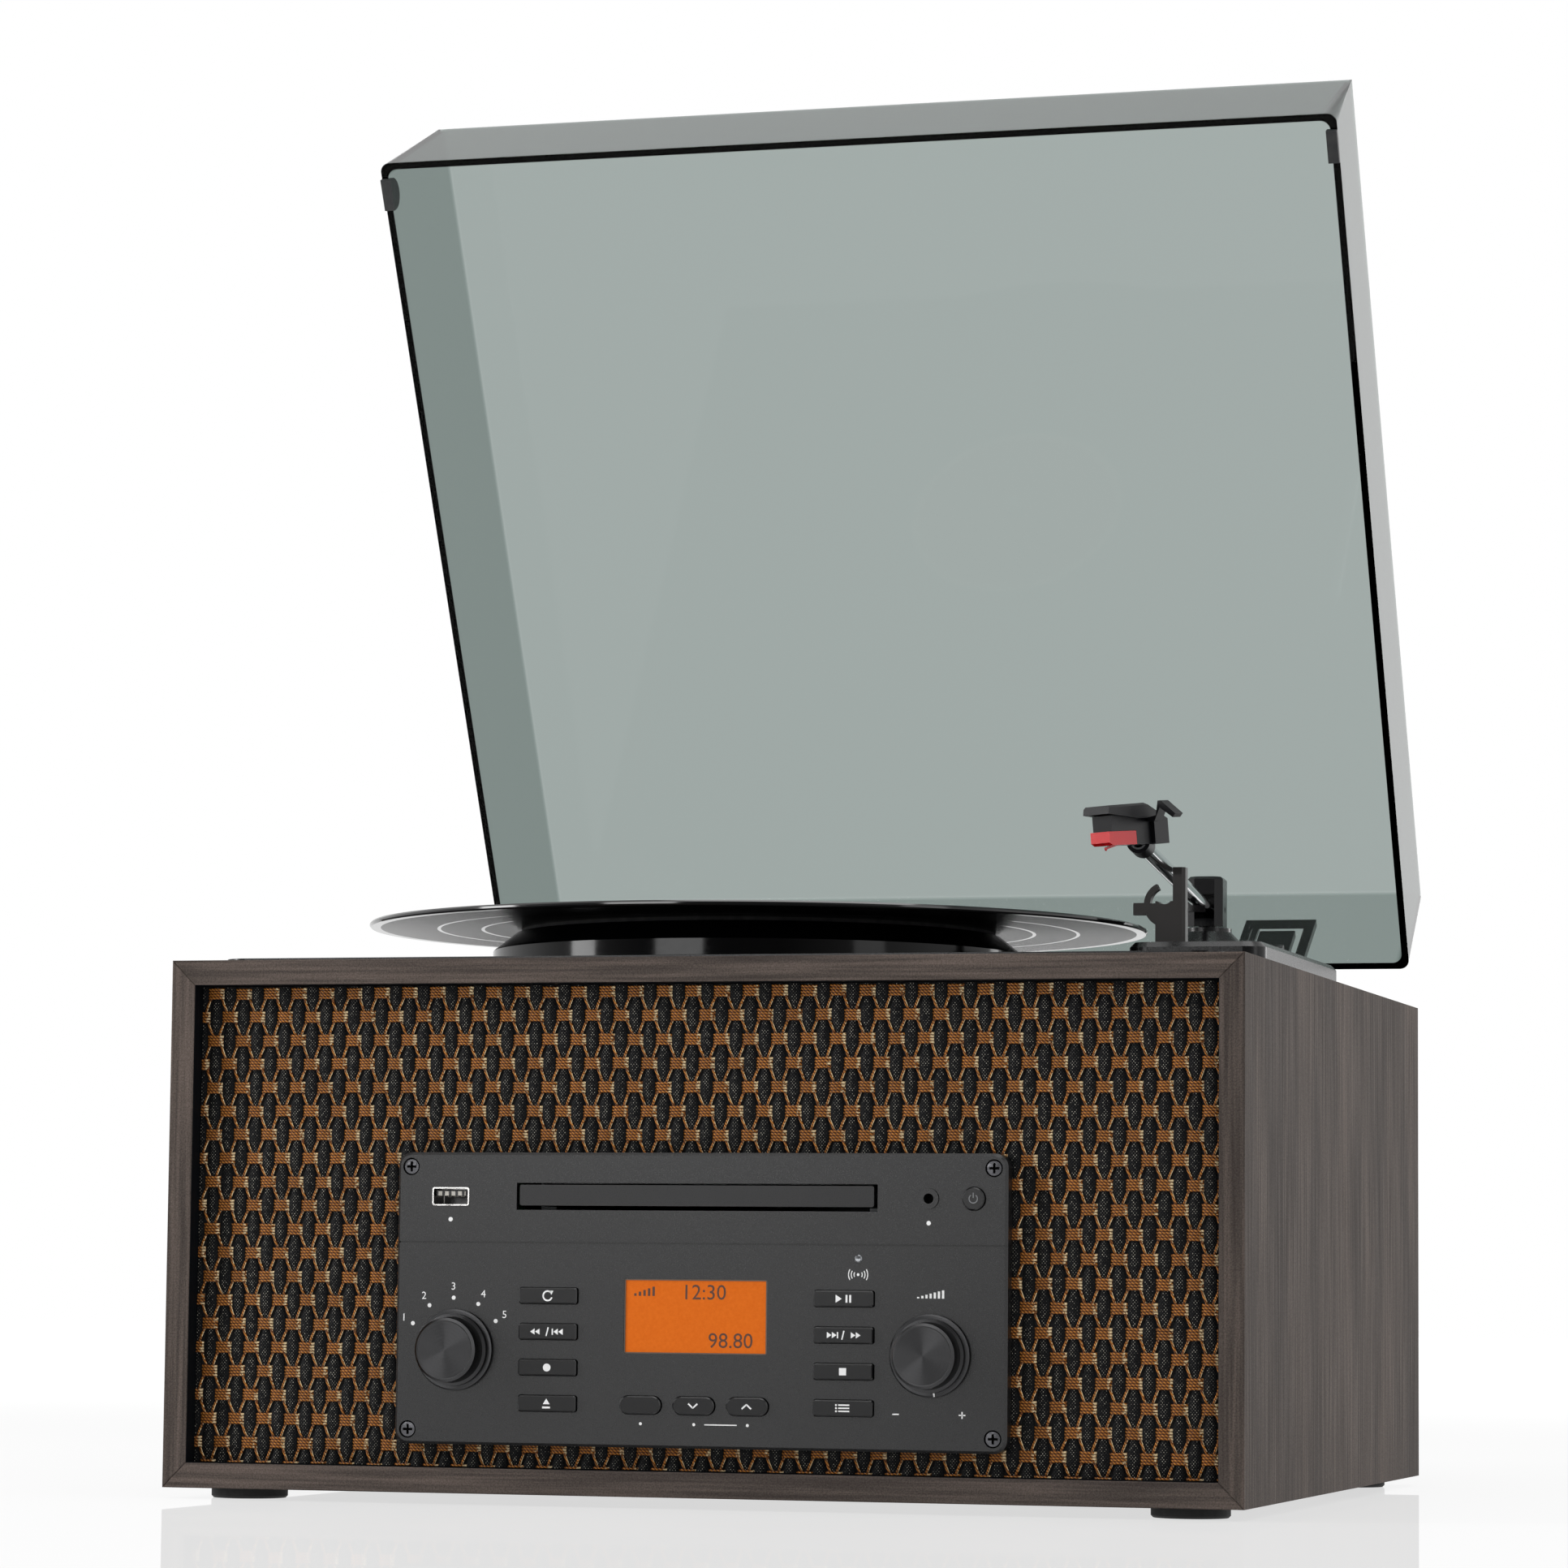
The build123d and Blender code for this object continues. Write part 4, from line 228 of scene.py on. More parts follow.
def blackRubber(name, base="#161616", roughness=0.72):
    # moulded rubber: matt, with a dusty bloom in patches
    material, tree, shader = newMaterial(name, base, Roughness=roughness)
    bloom = addNode(tree, "TexNoise", (objectPlace(tree), 1 / (4 * mm), 4.0, 0.55))
    tone = addNode(tree, "ValToRGB", (bloom,), stops=((0.35, base), (0.75, "#2A2A2A")))
    skin = addNode(tree, "TexNoise", (objectPlace(tree), 1 / (0.8 * mm), 3.0, 0.55))
    relief = addNode(tree, "Bump", {"Height": skin, "Distance": 0.05 * mm, "Strength": 0.6})
    setInputs(tree, shader, {"Base Color": tone, "Normal": relief})
    return material


def mattFibres(name, base, roughness, texture, tones, strength=0.5, stretch=(1, 1, 1)):
    # matt fibres whose tone and relief follow one texture: its size in millimetres, detail and roughness
    material, tree, shader = newMaterial(name, base, Roughness=roughness)
    size, detail, rough = texture
    fibres = addNode(tree, "TexNoise", (objectPlace(tree, scale=stretch), 1 / (size * mm), detail, rough))
    tone = addNode(tree, "ValToRGB", (fibres,), stops=tones)
    relief = addNode(tree, "Bump", {"Height": fibres, "Distance": 0.1 * mm, "Strength": strength})
    setInputs(tree, shader, {"Base Color": tone, "Normal": relief})
    return material


def fibreBoard(name, base, fleck):
    # hardboard: pressed wood fibre, with short darker flecks
    return mattFibres(name, base, 0.8, (1.2, 5.0, 0.7), ((0.35, fleck), (0.62, base)), stretch=(1, 1, 2.5))


def smokedAcrylic(name):
    # cast acrylic, tinted through its thickness, so the sheet is grey-green and its edges go nearly black
    material, tree, shader = newMaterial(name, "#FFFFFF", Roughness=0.0, IOR=1.2, Transmission_Weight=1.0)
    sweep = addNode(tree, "TexNoise", (objectPlace(tree, scale=(1, 0.3, 0.3)), 1 / (90 * mm), 2.0, 0.55))
    gloss = addNode(tree, "ValToRGB", (sweep,), stops=((0.4, 0.0), (0.8, 0.015)))
    depth = addNode(tree, "VolumeAbsorption", {"Color": (0.14, 0.245, 0.215, 1), "Density": 400.0})
    clear = addNode(tree, "BsdfTransparent", {"Color": (1, 1, 1, 1)})
    forShadow = addNode(tree, "LightPath").outputs["Is Shadow Ray"]  # so that light reaches the deck
    sheet = addNode(tree, "MixShader", (forShadow, shader, clear))
    setInputs(tree, shader, {"Roughness": gloss})
    setInputs(tree, tree.nodes["Material Output"], {"Surface": sheet, "Volume": depth})
    return material


def twistedYarn(name, strands):
    # twisted viscose: each strand shows slanting stripes of painted shade along its twist, with painted shade
    # between strands, and painted highlights as pale glints at the end that turns to the light
    material, tree, shader = newMaterial(name, "#7A4512", Roughness=0.45, Specular_IOR_Level=0.25)
    place = objectPlace(tree)
    split = addNode(tree, "SeparateXYZ", (place,))
    slanted = addNode(tree, "Math", (split.outputs["X"], split.outputs["Z"]), operation="ADD")
    fuzz = addNode(tree, "TexNoise", (place, 1 / (0.5 * mm), 2.0, 0.55))
    wander = addNode(tree, "Math", (fuzz, 1.6), operation="MULTIPLY")
    phase = addNode(tree, "Math", (slanted, 2 * pi / (1.35 * mm), wander), operation="MULTIPLY_ADD")
    twist = addNode(tree, "Math", (phase,), operation="SINE")
    yarnPlace = addNode(tree, "SeparateXYZ", (addNode(tree, "UVMap"),))
    strand = addNode(tree, "Math", (yarnPlace.outputs["Y"], pi * strands), operation="MULTIPLY")
    ridge = addNode(tree, "Math", (strand,), operation="SINE")
    valley = addNode(tree, "Math", (ridge,), operation="ABSOLUTE")
    # painted shade: the tone darkens on one side of each twist and in the creases between strands
    facing = addNode(tree, "Math", (twist, 0.35, 0.65), operation="MULTIPLY_ADD")
    lifted = addNode(tree, "Math", (valley, 0.6), operation="POWER")
    lit = addNode(tree, "Math", (facing, lifted), operation="MULTIPLY")
    tone = addNode(tree, "ValToRGB", (lit,), stops=((0.05, "#1C0E05"), (0.45, "#744012"), (0.95, "#BC7C34")))
    patches = addNode(tree, "TexNoise", (place, 1 / (14 * mm), 2.0, 0.55))
    shade = addNode(tree, "ValToRGB", (patches,), stops=((0.3, 0.8), (0.7, 1.1)))
    dyed = addNode(tree, "Mix", (1.0, tone, shade), data_type="RGBA", blend_type="MULTIPLY")
    # painted highlight: pale cream glints near the end of each bundle that turns to the light
    turned = addNode(tree, "MapRange", (yarnPlace.outputs["X"], 0.7, 0.86))
    flecks = addNode(tree, "TexNoise", (place, 1 / (1.1 * mm), 1.0, 0.55))
    fleck = addNode(tree, "Math", (flecks, 0.46), operation="GREATER_THAN")
    onRidge = addNode(tree, "Math", (fleck, valley), operation="MULTIPLY")
    paintedGlint = addNode(tree, "Math", (turned, onRidge), operation="MULTIPLY")
    shown = addNode(tree, "Mix", (paintedGlint, dyed, colour("#EED8AC")), data_type="RGBA")
    relief = addNode(tree, "Bump", {"Height": twist, "Distance": 0.12 * mm, "Strength": 0.9})
    setInputs(tree, shader, {"Base Color": shown, "Normal": relief})
    return material


def glitterRib(name):
    # black rib of fine crossed filaments, with a foil thread drawn as small pale dots, part its own pale tone
    # and part painted sparkle; the dots fade out to the flanks as painted shade
    material, tree, shader = newMaterial(name, "#0C0D0F", Roughness=0.6, Specular_IOR_Level=0.12)
    place = objectPlace(tree)
    split = addNode(tree, "SeparateXYZ", (place,))
    threadMm = {"X": 1.05, "Z": 1.05 * 1.2}  # real threads are 0.3 mm apart, drawn coarser so that they show
    waves = []
    for axis, pitch in threadMm.items():
        turns = addNode(tree, "Math", (split.outputs[axis], 2 * pi / (pitch * mm)), operation="MULTIPLY")
        waves.append(addNode(tree, "Math", (turns,), operation="SINE"))
    dots = addNode(tree, "Math", waves, operation="MULTIPLY")
    tops = addNode(tree, "Math", (dots, 0.0), operation="MAXIMUM")
    paintedSparkle = addNode(tree, "TexNoise", (place, 1 / (1.3 * mm), 1.0, 0.55))
    foil = addNode(tree, "Math", (tops, paintedSparkle), operation="MULTIPLY")
    ribPlace = addNode(tree, "SeparateXYZ", (addNode(tree, "UVMap"),))
    bow = addNode(tree, "Math", (ribPlace.outputs["X"], pi), operation="MULTIPLY")
    middle = addNode(tree, "Math", (bow,), operation="SINE")  # painted shade: the dots fade out towards both flanks, so the rib's sides go dark
    share = addNode(tree, "Math", (middle, 0.5), operation="POWER")
    lit = addNode(tree, "Math", (foil, share), operation="MULTIPLY")
    # the pale dots are the foil thread's own pale tone together with painted sparkle
    tone = addNode(tree, "ValToRGB", (lit,), stops=((0.2, "#08090B"), (0.36, "#2E2D2B"), (0.5, "#A8A498")))
    relief = addNode(tree, "Bump", {"Height": dots, "Distance": 0.08 * mm, "Strength": 0.9})
    setInputs(tree, shader, {"Base Color": tone, "Normal": relief})
    return material


def blackBacking(name):
    # open black scrim behind the ribs
    return mattFibres(name, "#0B0B0C", 0.8, (0.8, 3.0, 0.55), ((0.35, "#070708"), (0.75, "#1B1B1E")), 0.6)


# the fascia's parting groove: its height and how far it may reach to each side, in metres
seam = {"z": 0.0937, "reach": 0.2, "halfMm": 0.5, "lipMm": 0.12}


def fasciaAbs(name):
    # moulded ABS with a satin front; the parting groove below the disc tray collects shade
    material = mouldedPlastic(name, "#1B1B1C", 0.3, 0.45, 0.01, Specular_IOR_Level=0.45)
    tree = material.node_tree
    shader = tree.nodes["Principled BSDF"]
    middle = (centreOf("fascia").x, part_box("fascia")[0].y, seam["z"])
    split = splitPlace(tree, middle)
    inside = insideFront(tree, split, seam["reach"], seam["halfMm"] * mm)
    sunk = addNode(tree, "Math", (split.outputs["Y"], seam["lipMm"] * mm), operation="GREATER_THAN")
    groove = addNode(tree, "Math", (inside, sunk), operation="MULTIPLY")
    plain = shader.inputs["Base Color"].links[0].from_socket
    shaded = addNode(tree, "Mix", (groove, plain, colour("#060606")), data_type="RGBA")
    setInputs(tree, shader, {"Base Color": shaded})
    return material


def polishMarks(tree, low, high):
    # roughness in faint streaks from front to back
    streaks = addNode(tree, "TexNoise", (objectPlace(tree, scale=(1, 6, 1)), 1 / (1.5 * mm), 3.0, 0.55))
    return addNode(tree, "ValToRGB", (streaks,), stops=((0.3, low), (0.7, high)))


def platedSteel(name, base="#D8D8DA", roughness=0.16):
    # bright nickel or chrome plate, with faint polishing marks
    material, tree, shader = newMaterial(name, base, Roughness=roughness, Metallic=1.0)
    setInputs(tree, shader, {"Roughness": polishMarks(tree, roughness * 0.6, roughness * 1.6)})
    return material


# the socket's wall and front edge, the painted shade of its well, and the row of contacts on its tongue
usb = {"wallMm": 0.65, "lipMm": 0.1, "shell": "#D5D3D1", "shadedWell": "#0C0C0D", "contact": "#B9B5AC",
       "pitchMm": 2.5, "rowUpMm": 0.9, "rowHalfMm": 5.2, "rowHalfTallMm": 0.95}


def usbShell(name):
    # bright nickel shell; everything inside its mouth, shell walls and tongue, is painted near-black and not
    # metallic as painted shade, with four pale contacts on the tongue
    material, tree, shader = newMaterial(name, usb["shell"], Roughness=0.18, Metallic=1.0)
    low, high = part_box("usb_socket")
    centre = Vector(((low.x + high.x) / 2, low.y, (low.z + high.z) / 2))
    wall = usb["wallMm"] * mm
    split = splitPlace(tree, centre)
    mouth = insideFront(tree, split, (high.x - low.x) / 2 - wall, (high.z - low.z) / 2 - wall)
    sunk = addNode(tree, "Math", (split.outputs["Y"], usb["lipMm"] * mm), operation="GREATER_THAN")
    inside = addNode(tree, "Math", (mouth, sunk), operation="MULTIPLY")
    rowSplit = splitPlace(tree, centre + Vector((0, 0, usb["rowUpMm"] * mm)))
    row = insideFront(tree, rowSplit, usb["rowHalfMm"] * mm, usb["rowHalfTallMm"] * mm)
    turns = addNode(tree, "Math", (split.outputs["X"], 2 * pi / (usb["pitchMm"] * mm)), operation="MULTIPLY")
    waves = addNode(tree, "Math", (turns,), operation="SINE")
    four = addNode(tree, "Math", (waves, -0.2), operation="GREATER_THAN")
    contacts = addNode(tree, "Math", (row, four), operation="MULTIPLY")
    # painted shade fills the well, round the pale contacts
    shadedWell = addNode(tree, "Mix", (contacts, colour(usb["shadedWell"]), colour(usb["contact"])), data_type="RGBA")
    tone = addNode(tree, "Mix", (inside, colour(usb["shell"]), shadedWell), data_type="RGBA")
    plated = addNode(tree, "Math", (1.0, inside), operation="SUBTRACT")
    gloss = polishMarks(tree, 0.12, 0.26)
    setInputs(tree, shader, {"Base Color": tone, "Metallic": plated, "Roughness": gloss})
    return material


# where the four heads stand from the fascia's middle, and the size of the cross of painted shade in each
screws = {"base": "#5A5A5D", "recess": "#050505", "asideMm": 108.3, "upMm": 47.1, "armHalfMm": 0.45,
          "armLongMm": 1.8}


def oxideScrews(name):
    # black oxide on steel; the cross recess in each of the fascia's four heads is painted near-black as
    # painted shade
    material = platedSteel(name, screws["base"], 0.3)
    tree = material.node_tree
    split = splitPlace(tree, centreOf("fascia"))
    away = []
    for axis, place in (("X", screws["asideMm"]), ("Z", screws["upMm"])):
        fromMiddle = addNode(tree, "Math", (split.outputs[axis],), operation="ABSOLUTE")
        fromHead = addNode(tree, "Math", (fromMiddle, place * mm), operation="SUBTRACT")
        away.append(addNode(tree, "Math", (fromHead,), operation="ABSOLUTE"))
    arms = []
    for thin, long in (away, away[::-1]):
        inThin = addNode(tree, "Math", (thin, screws["armHalfMm"] * mm), operation="LESS_THAN")
        inLong = addNode(tree, "Math", (long, screws["armLongMm"] * mm), operation="LESS_THAN")
        arms.append(addNode(tree, "Math", (inThin, inLong), operation="MULTIPLY"))
    recessShade = addNode(tree, "Math", arms, operation="MAXIMUM")
    tone = addNode(tree, "Mix", (recessShade, colour(screws["base"]), colour(screws["recess"])), data_type="RGBA")
    setInputs(tree, tree.nodes["Principled BSDF"], {"Base Color": tone})
    return material


# radii in millimetres; real grooves are about 0.1 mm apart
vinyl = {"grooveMm": 0.9, "lead": 146.5, "dead": 60.0, "label": 50.0, "rim": 3.0, "gapHalf": 0.7,
         "gapsAt": (74, 90, 107, 124), "black": "#0B0B0C", "paper": ("#8E3A2C", "#A04636"),
         "rimPaper": "#D9CDB8"}


def pressedVinyl(name):
    # pressed PVC: glossy black, with grooves too fine to see drawn as coarser rings, and a paper label
    material, tree, shader = newMaterial(name, vinyl["black"], Roughness=0.16, IOR=1.54)
    fromSpindle = radiusFrom(tree, objectPlace(tree, centreOf("spindle")))
    radius = addNode(tree, "Math", (fromSpindle, 1000.0), operation="MULTIPLY")
    turns = addNode(tree, "Math", (radius, 2 * pi / vinyl["grooveMm"]), operation="MULTIPLY")
    groove = addNode(tree, "Math", (turns,), operation="SINE")
    beforeLead = addNode(tree, "Math", (radius, vinyl["lead"]), operation="LESS_THAN")
    pastDead = addNode(tree, "Math", (radius, vinyl["dead"]), operation="GREATER_THAN")
    cut = addNode(tree, "Math", (beforeLead, pastDead), operation="MULTIPLY")
    for at in vinyl["gapsAt"]:
        offset = addNode(tree, "Math", (radius, float(at)), operation="SUBTRACT")
        away = addNode(tree, "Math", (offset,), operation="ABSOLUTE")
        clear = addNode(tree, "Math", (away, vinyl["gapHalf"]), operation="GREATER_THAN")
        cut = addNode(tree, "Math", (cut, clear), operation="MULTIPLY")
    height = addNode(tree, "Math", (groove, cut), operation="MULTIPLY")
    relief = addNode(tree, "Bump", {"Height": height, "Distance": 0.02 * mm, "Strength": 0.8})
    onLabel = addNode(tree, "Math", (radius, vinyl["label"]), operation="LESS_THAN")
    onRim = addNode(tree, "Math", (radius, vinyl["label"] - vinyl["rim"]), operation="GREATER_THAN")
    fibre = addNode(tree, "TexNoise", (objectPlace(tree), 1 / (1.0 * mm), 3.0, 0.55))
    darker, lighter = vinyl["paper"]
    paper = addNode(tree, "ValToRGB", (fibre,), stops=((0.3, darker), (0.7, lighter)))
    label = addNode(tree, "Mix", (onRim, paper, colour(vinyl["rimPaper"])), data_type="RGBA")
    tone = addNode(tree, "Mix", (onLabel, colour(vinyl["black"]), label), data_type="RGBA")
    gloss = addNode(tree, "Math", (cut, 0.14, 0.1), operation="MULTIPLY_ADD")
    rough = addNode(tree, "Mix", (onLabel, gloss, 0.7), data_type="FLOAT")
    setInputs(tree, shader, {"Base Color": tone, "Roughness": rough, "Normal": relief})
    return material


def backlitDisplay(name):
    # liquid crystal over an amber backlight: an even glow with faint mottling
    material, tree, shader = newMaterial(name, "#C45A0C", Roughness=0.4, Specular_IOR_Level=0.1,
                                         Emission_Strength=0.08)
    mottle = addNode(tree, "TexNoise", (objectPlace(tree), 1 / (1.2 * mm), 3.0, 0.7))
    glow = addNode(tree, "ValToRGB", (mottle,), stops=((0.3, "#CC5F0C"), (0.7, "#D46816")))
    setInputs(tree, shader, {"Base Color": glow, "Emission Color": glow})
    return material


def wovenPaper(name):
    # pressed paper pulp of a loudspeaker cone
    return mattFibres(name, "#1C1B1A", 0.85, (1.4, 5.0, 0.7), ((0.3, "#151413"), (0.7, "#2B2927")))


def laminatedCore(name):
    # varnished iron laminations, stacked front to back, with a taped winding
    material, tree, shader = newMaterial(name, "#4A4540", Roughness=0.45, Metallic=0.6)
    place = objectPlace(tree, scale=(0, 1 / (0.9 * mm), 0))
    sheets = addNode(tree, "TexWave", {"Vector": place, "Scale": 0.5}, bands_direction="Y").outputs["Fac"]
    tone = addNode(tree, "ValToRGB", (sheets,), stops=((0.2, "#2E2A26"), (0.7, "#5A534B")))
    setInputs(tree, shader, {"Base Color": tone})
    return material


def solderMask(name):
    # green solder mask over glass fibre, with paler copper runs beneath
    material, tree, shader = newMaterial(name, "#1F5A36", Roughness=0.3)
    runs = addNode(tree, "TexBrick", {
        "Vector": objectPlace(tree), "Scale": 1 / (12 * mm), "Mortar Size": 0.03,
        "Color1": colour("#1F5A36"), "Color2": colour("#1B5030"), "Mortar": colour("#2F7A4C")})
    setInputs(tree, shader, {"Base Color": runs})
    return material


def printedInk(name, base, roughness=0.5):
    # screen-printed ink: solid, with slightly ragged tone
    material, tree, shader = newMaterial(name, base, Roughness=roughness)
    cover = addNode(tree, "TexNoise", (objectPlace(tree), 1 / (0.5 * mm), 2.0, 0.55))
    thin = [c * 0.9 for c in colour(base)[:3]] + [1]
    tone = addNode(tree, "Mix", (cover, thin, colour(base)), data_type="RGBA")
    setInputs(tree, shader, {"Base Color": tone})
    return material


def spunAluminium(name, node):
    # dark anodised and spun: the rings on its face draw each highlight out to a bow tie; real tool marks
    # are about 0.2 mm apart, drawn coarser so that they show
    facing = (pi / 2, 0, 0)  # turns the rings' axis from z to y, because the knob faces the front
    return turnedMetal(name, "#454546", 0.4, centreOf(node), 1.3, 0.004, facing, (0, 1, 0), Anisotropic=0.95)


finishes = {
    "cabinet_left_side": walnutLaminate("walnutLaminateUpright", "z"),
    "cabinet_top": walnutLaminate("walnutLaminateAcross", "x"),
    "rear_panel": fibreBoard("hardboard", "#4B3A2C", "#2E221A"),
    "grille_baffle": fibreBoard("blackStainedBoard", "#141414", "#0B0B0B"),
    "grille_cloth": fibreBoard("clothPlain", "#141414", "#0B0B0B"),
    "feet": blackRubber("footRubber"),
    "fascia": fasciaAbs("satinAbs"),
    "screws": oxideScrews("blackOxideSteel"),
    "display_module": backlitDisplay("amberDisplay"),
    "status_lamp": platedSteel("clearLampLens", "#C9CCD0", 0.08),
    "usb_socket": usbShell("nickelPlate"),
    "aux_socket": mouldedPlastic("socketNylon", "#141415", 0.3, 0.5, 0.01),
    "control_board": solderMask("solderMaskBoard"),
    "disc_drive": rolledSteel("galvanisedSteel", "#9A9C9E", 0.38),
    "transformer": laminatedCore("transformerIron"),
    "speaker_cones": wovenPaper("conePulp"),
    "turntable_deck": mouldedPlastic("glossAbs", "#0B0B0C", 0.25, 0.7, 0.006, Specular_IOR_Level=0.35),
    "arm_rest_post": mouldedPlastic("greyBlackNylon", "#1E1A18", 0.36, 0.4, 0.012, Specular_IOR_Level=0.35),
    "spindle": turnedMetal("turnedSteel", "#B9BABC", 0.2, centreOf("spindle")),
    "drive_motor": rolledSteel("platedCan", "#A8AAAC", 0.3),
    "motor_pulley": turnedMetal("turnedBrass", "#B58D45", 0.25, centreOf("motor_pulley")),
    "drive_belt": blackRubber("beltRubber", "#131313", 0.6),
    "left_button_1": mouldedPlastic("satinKeycap", "#111112", 0.22, 0.4, 0.008, Specular_IOR_Level=0.35),
    "source_knob": spunAluminium("spunAluminiumLeft", "source_knob"),
    "volume_knob": spunAluminium("spunAluminiumRight", "volume_knob"),
    "disc_tray": mouldedPlastic("trayAbs", "#1C1C1D", 0.3, 0.4, 0.01, Specular_IOR_Level=0.35),
    "platter": mouldedPlastic("glossEnamel", "#060608", 0.1, 3.0, 0.004, Specular_IOR_Level=0.2),
    "slip_mat": blackRubber("matRubber", "#151516", 0.8),
    "record": pressedVinyl("pressedVinyl"),
    "arm_gimbal": mouldedPlastic("glossNylon", "#08080A", 0.2, 0.8, 0.004, Specular_IOR_Level=0.3),
    "headshell": mouldedPlastic("shellNylon", "#0A0A0E", 0.35, 0.4, 0.01, Specular_IOR_Level=0.18),
    "arm_tube": platedSteel("chromedTube", "#D9DBDD", 0.09),
    "stylus": mouldedPlastic("redAcetal", "#C8141B", 0.22, 0.8, 0.006, Subsurface_Weight=0.1),
    "lid": smokedAcrylic("smokedAcrylic"),
    "lid_bumpers": blackRubber("bumperRubber", "#17191C", 0.6),
    "hinge_leaves": mouldedPlastic("hingeNylon", "#0E0F11", 0.22, 0.6, 0.008),
}
roundKeys = [f"{side}_button_{i}" for side in ("left", "right") for i in (1, 2, 3, 4)]
ovalKeys = [f"oval_button_{i}" for i in (1, 2, 3)]
sameAs = {
    "cabinet_left_side": ["cabinet_right_side"],
    "cabinet_top": ["cabinet_bottom"],
    "aux_socket": ["rear_sockets", "rotary_encoders"],
    "control_board": ["main_board"],
    "disc_drive": ["speaker_frames", "hinge_brackets"],
    "turntable_deck": ["arm_base"],
    "left_button_1": roundKeys + ovalKeys + ["power_button"],
    "arm_gimbal": ["cue_lift", "cue_lever", "speed_selector"],
    "arm_rest_post": ["arm_clip"],
    "headshell": ["cartridge"],
}
for name, material in finishes.items():
    for node in [name] + sameAs.get(name, []):
        nodes[node].data.materials.clear()
        nodes[node].data.materials.append(material)
print("materials on", len(set(finishes) | {n for many in sameAs.values() for n in many}), "nodes")


def newObject(name, mesh, material):
    data = bpy.data.meshes.new(name)
    mesh.to_mesh(data)
    mesh.free()
    data.materials.append(material)
    obj = bpy.data.objects.new(name, data)
    bpy.context.scene.collection.objects.link(obj)
    return obj


def addPiece(name, mesh, material, body, smooth=False):
    obj = newObject(name, mesh, material)
    if smooth:
        obj.data.shade_smooth()
    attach(obj, body)
    return obj


# sizes in metres; lift is how far the floor is brought to white where it is seen, mirror is its faint
# reflection, and the world that reflections show is dimmer towards the front
studio = {"floorSize": 14.0, "floorTone": 0.9, "fadeFrom": 0.75, "fadeTo": 2.2, "mirror": 0.28,
          "polish": 0.015, "white": 1.06, "lift": 0.87, "world": 0.45, "frontFrom": -0.9, "frontTo": 0.1,
          "frontLevel": 0.12, "aim": (0, 0, 0.16)}


def seenStraight(tree, path):
    rays = (path.outputs["Is Camera Ray"], path.outputs["Is Transmission Ray"])
    return addNode(tree, "Math", rays, operation="MAXIMUM")


def paleFloor(name):
    # matt grey paint that keeps the shadow, brought to white where it is seen, and all white far away
    material = bpy.data.materials.new(name)
    material.use_nodes = True
    tree = material.node_tree
    tree.nodes.clear()
    far = (radiusFrom(tree, objectPlace(tree)), studio["fadeFrom"], studio["fadeTo"])
    fade = addNode(tree, "MapRange", far, interpolation_type="SMOOTHSTEP")
    path = addNode(tree, "LightPath")
    rays = (seenStraight(tree, path), path.outputs["Is Glossy Ray"])
    seen = addNode(tree, "Math", rays, operation="MAXIMUM")
    matt = addNode(tree, "BsdfDiffuse", {"Color": [studio["floorTone"]] * 3 + [1]})
    white = addNode(tree, "Emission", {"Strength": studio["white"]})
    lifted = addNode(tree, "Math", (seen, studio["lift"]), operation="MULTIPLY")
    lit = addNode(tree, "MixShader", (lifted, matt, white))
    mirror = addNode(tree, "BsdfGlossy", {"Roughness": studio["polish"]})
    sheen = addNode(tree, "MixShader", (studio["mirror"], lit, mirror))
    faded = addNode(tree, "Math", (fade, seen), operation="MULTIPLY")
    addNode(tree, "OutputMaterial", {"Surface": addNode(tree, "MixShader", (faded, sheen, white))})
    return material


def makeFloor():
    mesh = bmesh.new()
    bmesh.ops.create_grid(mesh, x_segments=1, y_segments=1, size=studio["floorSize"] / 2)
    newObject("floor", mesh, paleFloor("paleFloor"))


def makeWorld():
    world = bpy.data.worlds.new("studio")
    bpy.context.scene.world = world
    world.use_nodes = True
    tree = world.node_tree
    tree.nodes.clear()
    path = addNode(tree, "LightPath")
    seen = seenStraight(tree, path)
    glossy = path.outputs["Is Glossy Ray"]
    split = addNode(tree, "SeparateXYZ", (addNode(tree, "TexCoord").outputs["Generated"],))
    front = addNode(tree, "MapRange", (
        split.outputs["Y"], studio["frontFrom"], studio["frontTo"], studio["frontLevel"], 1.0))
    reflected = addNode(tree, "Math", (glossy, front), operation="MULTIPLY")
    shown = addNode(tree, "Math", (seen, reflected), operation="MAXIMUM")
    either = addNode(tree, "Math", (seen, glossy), operation="MAXIMUM")
    other = addNode(tree, "Math", (1.0, either), operation="SUBTRACT")
    level = addNode(tree, "Math", (other, studio["world"], shown), operation="MULTIPLY_ADD")
    back = addNode(tree, "Background", {"Color": (1, 1, 1, 1), "Strength": level})
    addNode(tree, "OutputWorld", {"Surface": back})


lamps = {
    "lampRight": {"at": (1.7, -0.9, 0.75), "size": (0.5, 1.6), "watts": 4},
    "lampLeft": {"at": (-1.9, -1.0, 0.8), "size": (0.5, 1.6), "watts": 30},
    "lampTop": {"at": (0.2, -0.3, 2.3), "size": (1.8, 1.2), "watts": 20},
    "lampFront": {"at": (-0.75, -2.4, 0.35), "size": (0.9, 0.25), "watts": 4},
    "lampRear": {"at": (1.3, 1.6, 0.6), "size": (0.6, 1.2), "watts": 8},
}


